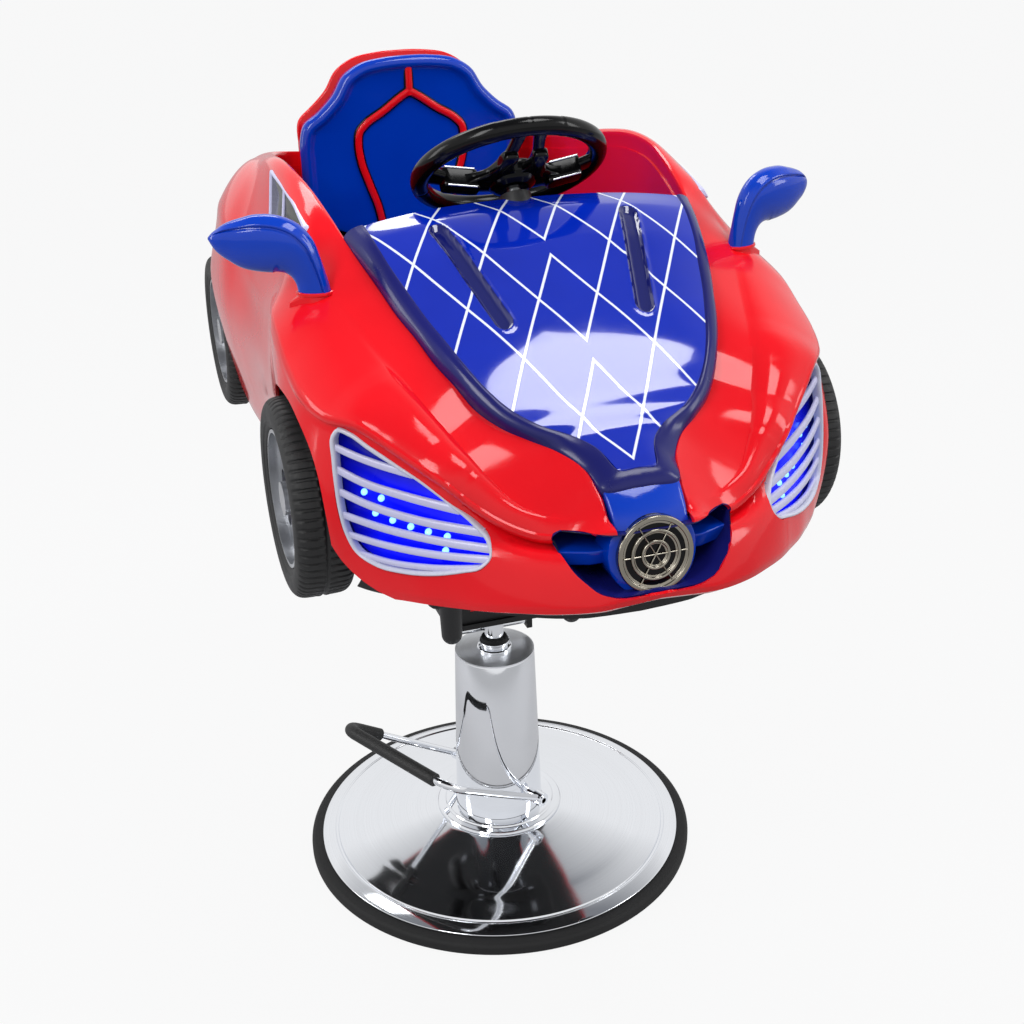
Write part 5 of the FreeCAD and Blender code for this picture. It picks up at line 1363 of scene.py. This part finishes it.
# Base, column and rod

def make_base():
    """Lathe profiles: cover with a sloping band, a rolled groove and a shallow dish, rubber ring, flange and
    shroud.
    """
    at = np.linspace(0, 3, 40)
    dish = smooth([(243.6, 27.1), (213.6, 32.2), (183.4, 38.6), (93, 53.6)], [0, 1, 2, 3], at)
    rim = eased([(262, 18.3), (268, 18.3), (268, 21.3), (249.5, 26.7), (247.8, 24.9), (244.9, 24.9)], 1.1)
    profile = np.concatenate([rim, dish, [(64, 53.6), (64, 52)]])
    made("base_dish", [turned(profile, steps=192)], "base", spun_cover, "base_cover", wall=1.2, angle=40)
    ring = eased([(262, 18.0), (281, 18.0), (285, 14), (285, 3), (282, 0), (250, 0), (250, 6), (262, 6)], 2.6,
                 5, closed=True)
    made("base_tread", [turned(ring, steps=192, closed=True)], "base", rubber, "base_ring", angle=40)
    flange = eased([(64.8, 54), (93, 54), (93, 56.6), (90.6, 59), (81.5, 59), (79.6, 61.8), (66.0, 61.8)],
                   0.9)
    made("foot_flange", [turned(np.concatenate([flange, [(64.8, 61.8), (64.8, 54)]]), steps=144,
                                closed=True)],
         "base", chrome, "column_flange", angle=40)
    shroud = [(63.4, 52.8), (64.5, 52.8), (64.3, 60), (57.2, 313.6), (56.4, 315.0)]
    made("pump_shroud", [turned(shroud, steps=144)], "base", chrome, "column_shroud", wall=1.2, angle=60)


make_base()


def make_collar():
    """Round stepped collar that guides the rod where it leaves the column."""
    section = [(14.4, 317.2), (25, 317.2), (25, 320.6), (23.2, 322.2), (19.6, 323), (19.6, 327.4),
               (22, 328.2),
               (22, 330.8), (20.6, 331.4), (14.4, 331.4)]
    made("rod_collar", [turned(eased(section, 0.5, closed=True), steps=96, closed=True)], "base", chrome,
         "gland_nut", angle=40)


make_collar()


def make_underbody():
    """Tray whose edge lies well inside the sill, the sunk footwell with its open top, and a bracket that
    carries each wheel's axle."""
    half = flow(sill_row, np.linspace(0, skin_knots[-1], 110))[:, :2]
    plan = np.concatenate([half, half[-2:0:-1] * np.array([-1.0, 1])])
    edge = drawn_in(plan, np.interp(plan[:, 1:], [-560, -420, -300], [52, 32, 16]))
    well = np.array([(-168, -300), (168, -300), (168, 140), (-168, 140)], float)
    outer = eased(well, 12, 6, closed=True)
    inner = drawn_in(outer, 4.0)
    hole = slab(inner, 600, 700, level_place)
    made("underbody_tray", [slab(edge, 640, 652, level_place)], "car", floor_black, "floor_tray",
         cutters=pair(*arches) + [hole], angle=40)
    walls = [level_place(*ring.T, np.full(len(ring), high)) for ring, high in
             ((drawn_in(inner, 3), 564), (inner, 567), (inner, 651.5), (outer, 651.5), (outer, 563),
              (drawn_in(outer, 3), 560))]
    made("footwell", [capped(np.stack(walls))], "car", floor_black, angle=40)
    brackets = []
    for outer_face, y in wheel_places.values():
        side = eased([(y - 14, 640), (y + 14, 640), (y + 14, 722), (y - 14, 722)], 3, closed=True)
        brackets.append(slab(side, outer_face - 88, outer_face - 74.5, side_place))
    made("axle_brackets", pair(*brackets), "car", floor_black, angle=40)


make_underbody()


# Studio

def make_studio():
    """White background for the camera and low in reflections, a dim ceiling above it where only the lamps
    shine back, and a soft white dome for the light itself."""
    world = bpy.data.worlds.new("studio")
    bpy.context.scene.world = world
    world.use_nodes = True
    tree = world.node_tree
    studio = Nodes(tree)
    seen, shiny, clear = studio.rays()
    height = studio.parts(studio.node("ShaderNodeTexCoord", output="Generated"))[2]
    ceiling = studio.range(height, 0.62, 0.88)
    dome = tree.nodes["Background"]
    dome.inputs[0].default_value = (0.95, 0.97, 1.0, 1)
    studio.feed(dome.inputs[1], studio.range(height, -0.25, 0.45, 0.24, 0.68))
    white, dim = (tree.nodes.new("ShaderNodeBackground") for _ in range(2))
    white.inputs[0].default_value, white.inputs[1].default_value = (1, 1, 1, 1), 1.0
    dim.inputs[0].default_value, dim.inputs[1].default_value = (0.8, 0.86, 1.0, 1), 0.14
    above = studio.blend(ceiling * (1.0 - seen), white.outputs[0], dim.outputs[0])
    shown = studio.blend(seen.most(shiny * 0.8).most(clear), dome.outputs[0], above)
    tree.links.new(shown, tree.nodes["World Output"].inputs[0])


make_studio()


def lamp(name, place, target, size, watts):
    """Soft rectangular lamp that faces a target."""
    data = bpy.data.lights.new(name, "AREA")
    data.shape, data.size, data.size_y, data.energy = "RECTANGLE", size[0], size[1], watts
    obj = bpy.data.objects.new(name, data)
    obj.location = place
    obj.rotation_euler = (Vector(target) - Vector(place)).to_track_quat("-Z", "Y").to_euler()
    bpy.context.scene.collection.objects.link(obj)


lamp("key_softbox", (-1.9, -1.6, 2.7), (0, -0.1, 0.7), (0.7, 1.5), 30)
lamp("fill_softbox", (2.4, -1.2, 2.0), (0, 0, 0.6), (0.6, 1.6), 16)
lamp("top_softbox", (0.75, -0.75, 3.1), (0, -0.2, 0.9), (1.0, 0.8), 20)
lamp("rear_softbox", (-0.3, 1.6, 2.6), (0, 0.2, 0.8), (1.6, 0.5), 14)
lamp("side_softbox", (-2.7, 0.7, 1.5), (0, 0.1, 0.8), (0.7, 1.4), 14)


def make_floor():
    """Pale floor that the camera and reflections see mostly as white, with the shadow kept in the rest."""
    mesh = bpy.data.meshes.new("floor")
    mesh.from_pydata([(-30, -30, 0), (30, -30, 0), (30, 30, 0), (-30, 30, 0)], [], [(0, 1, 2, 3)])
    floor = bpy.data.objects.new("floor", mesh)
    bpy.context.scene.collection.objects.link(floor)
    pale = Finish("pale_floor", (170, 170, 173), 0.9)
    pale.set("base", pale.mix(pale.noise(0.6), (168, 168, 171), (172, 172, 174)))
    seen, shiny, clear = pale.rays()
    glow = pale.node("ShaderNodeEmission", None, {"Color": (1, 1, 1, 1), "Strength": 1.0}, "Emission")
    mixed = pale.blend(seen.most(shiny * 0.32).most(clear) * 0.91, pale.shader.outputs[0], glow.socket)
    pale.tree.links.new(mixed, pale.tree.nodes["Material Output"].inputs[0])
    mesh.materials.append(pale.material)


make_floor()

camera_data = bpy.data.cameras.new("camera")
camera = bpy.data.objects.new("camera", camera_data)
bpy.context.scene.collection.objects.link(camera)
turn, tip, roll = math.radians(-18.0784), math.radians(24.5539), math.radians(-1.3954)
back = Vector((math.sin(turn) * math.cos(tip), -math.cos(turn) * math.cos(tip), math.sin(tip)))
level = Vector((math.cos(turn), math.sin(turn), 0))
rise = back.cross(level)
right = level * math.cos(roll) + rise * math.sin(roll)
upright = rise * math.cos(roll) - level * math.sin(roll)
camera.matrix_world = Matrix.Translation((-0.52989, -1.71973, 1.3522)) @ Matrix((
    right, upright, back)).transposed().to_4x4()
sensor, focal_pixels, picture_pixels = 36.0, 1434.205, 1024
camera_data.sensor_width, camera_data.lens = sensor, focal_pixels / picture_pixels * sensor
bpy.context.scene.camera = camera
bpy.context.scene.view_settings.view_transform = "Standard"
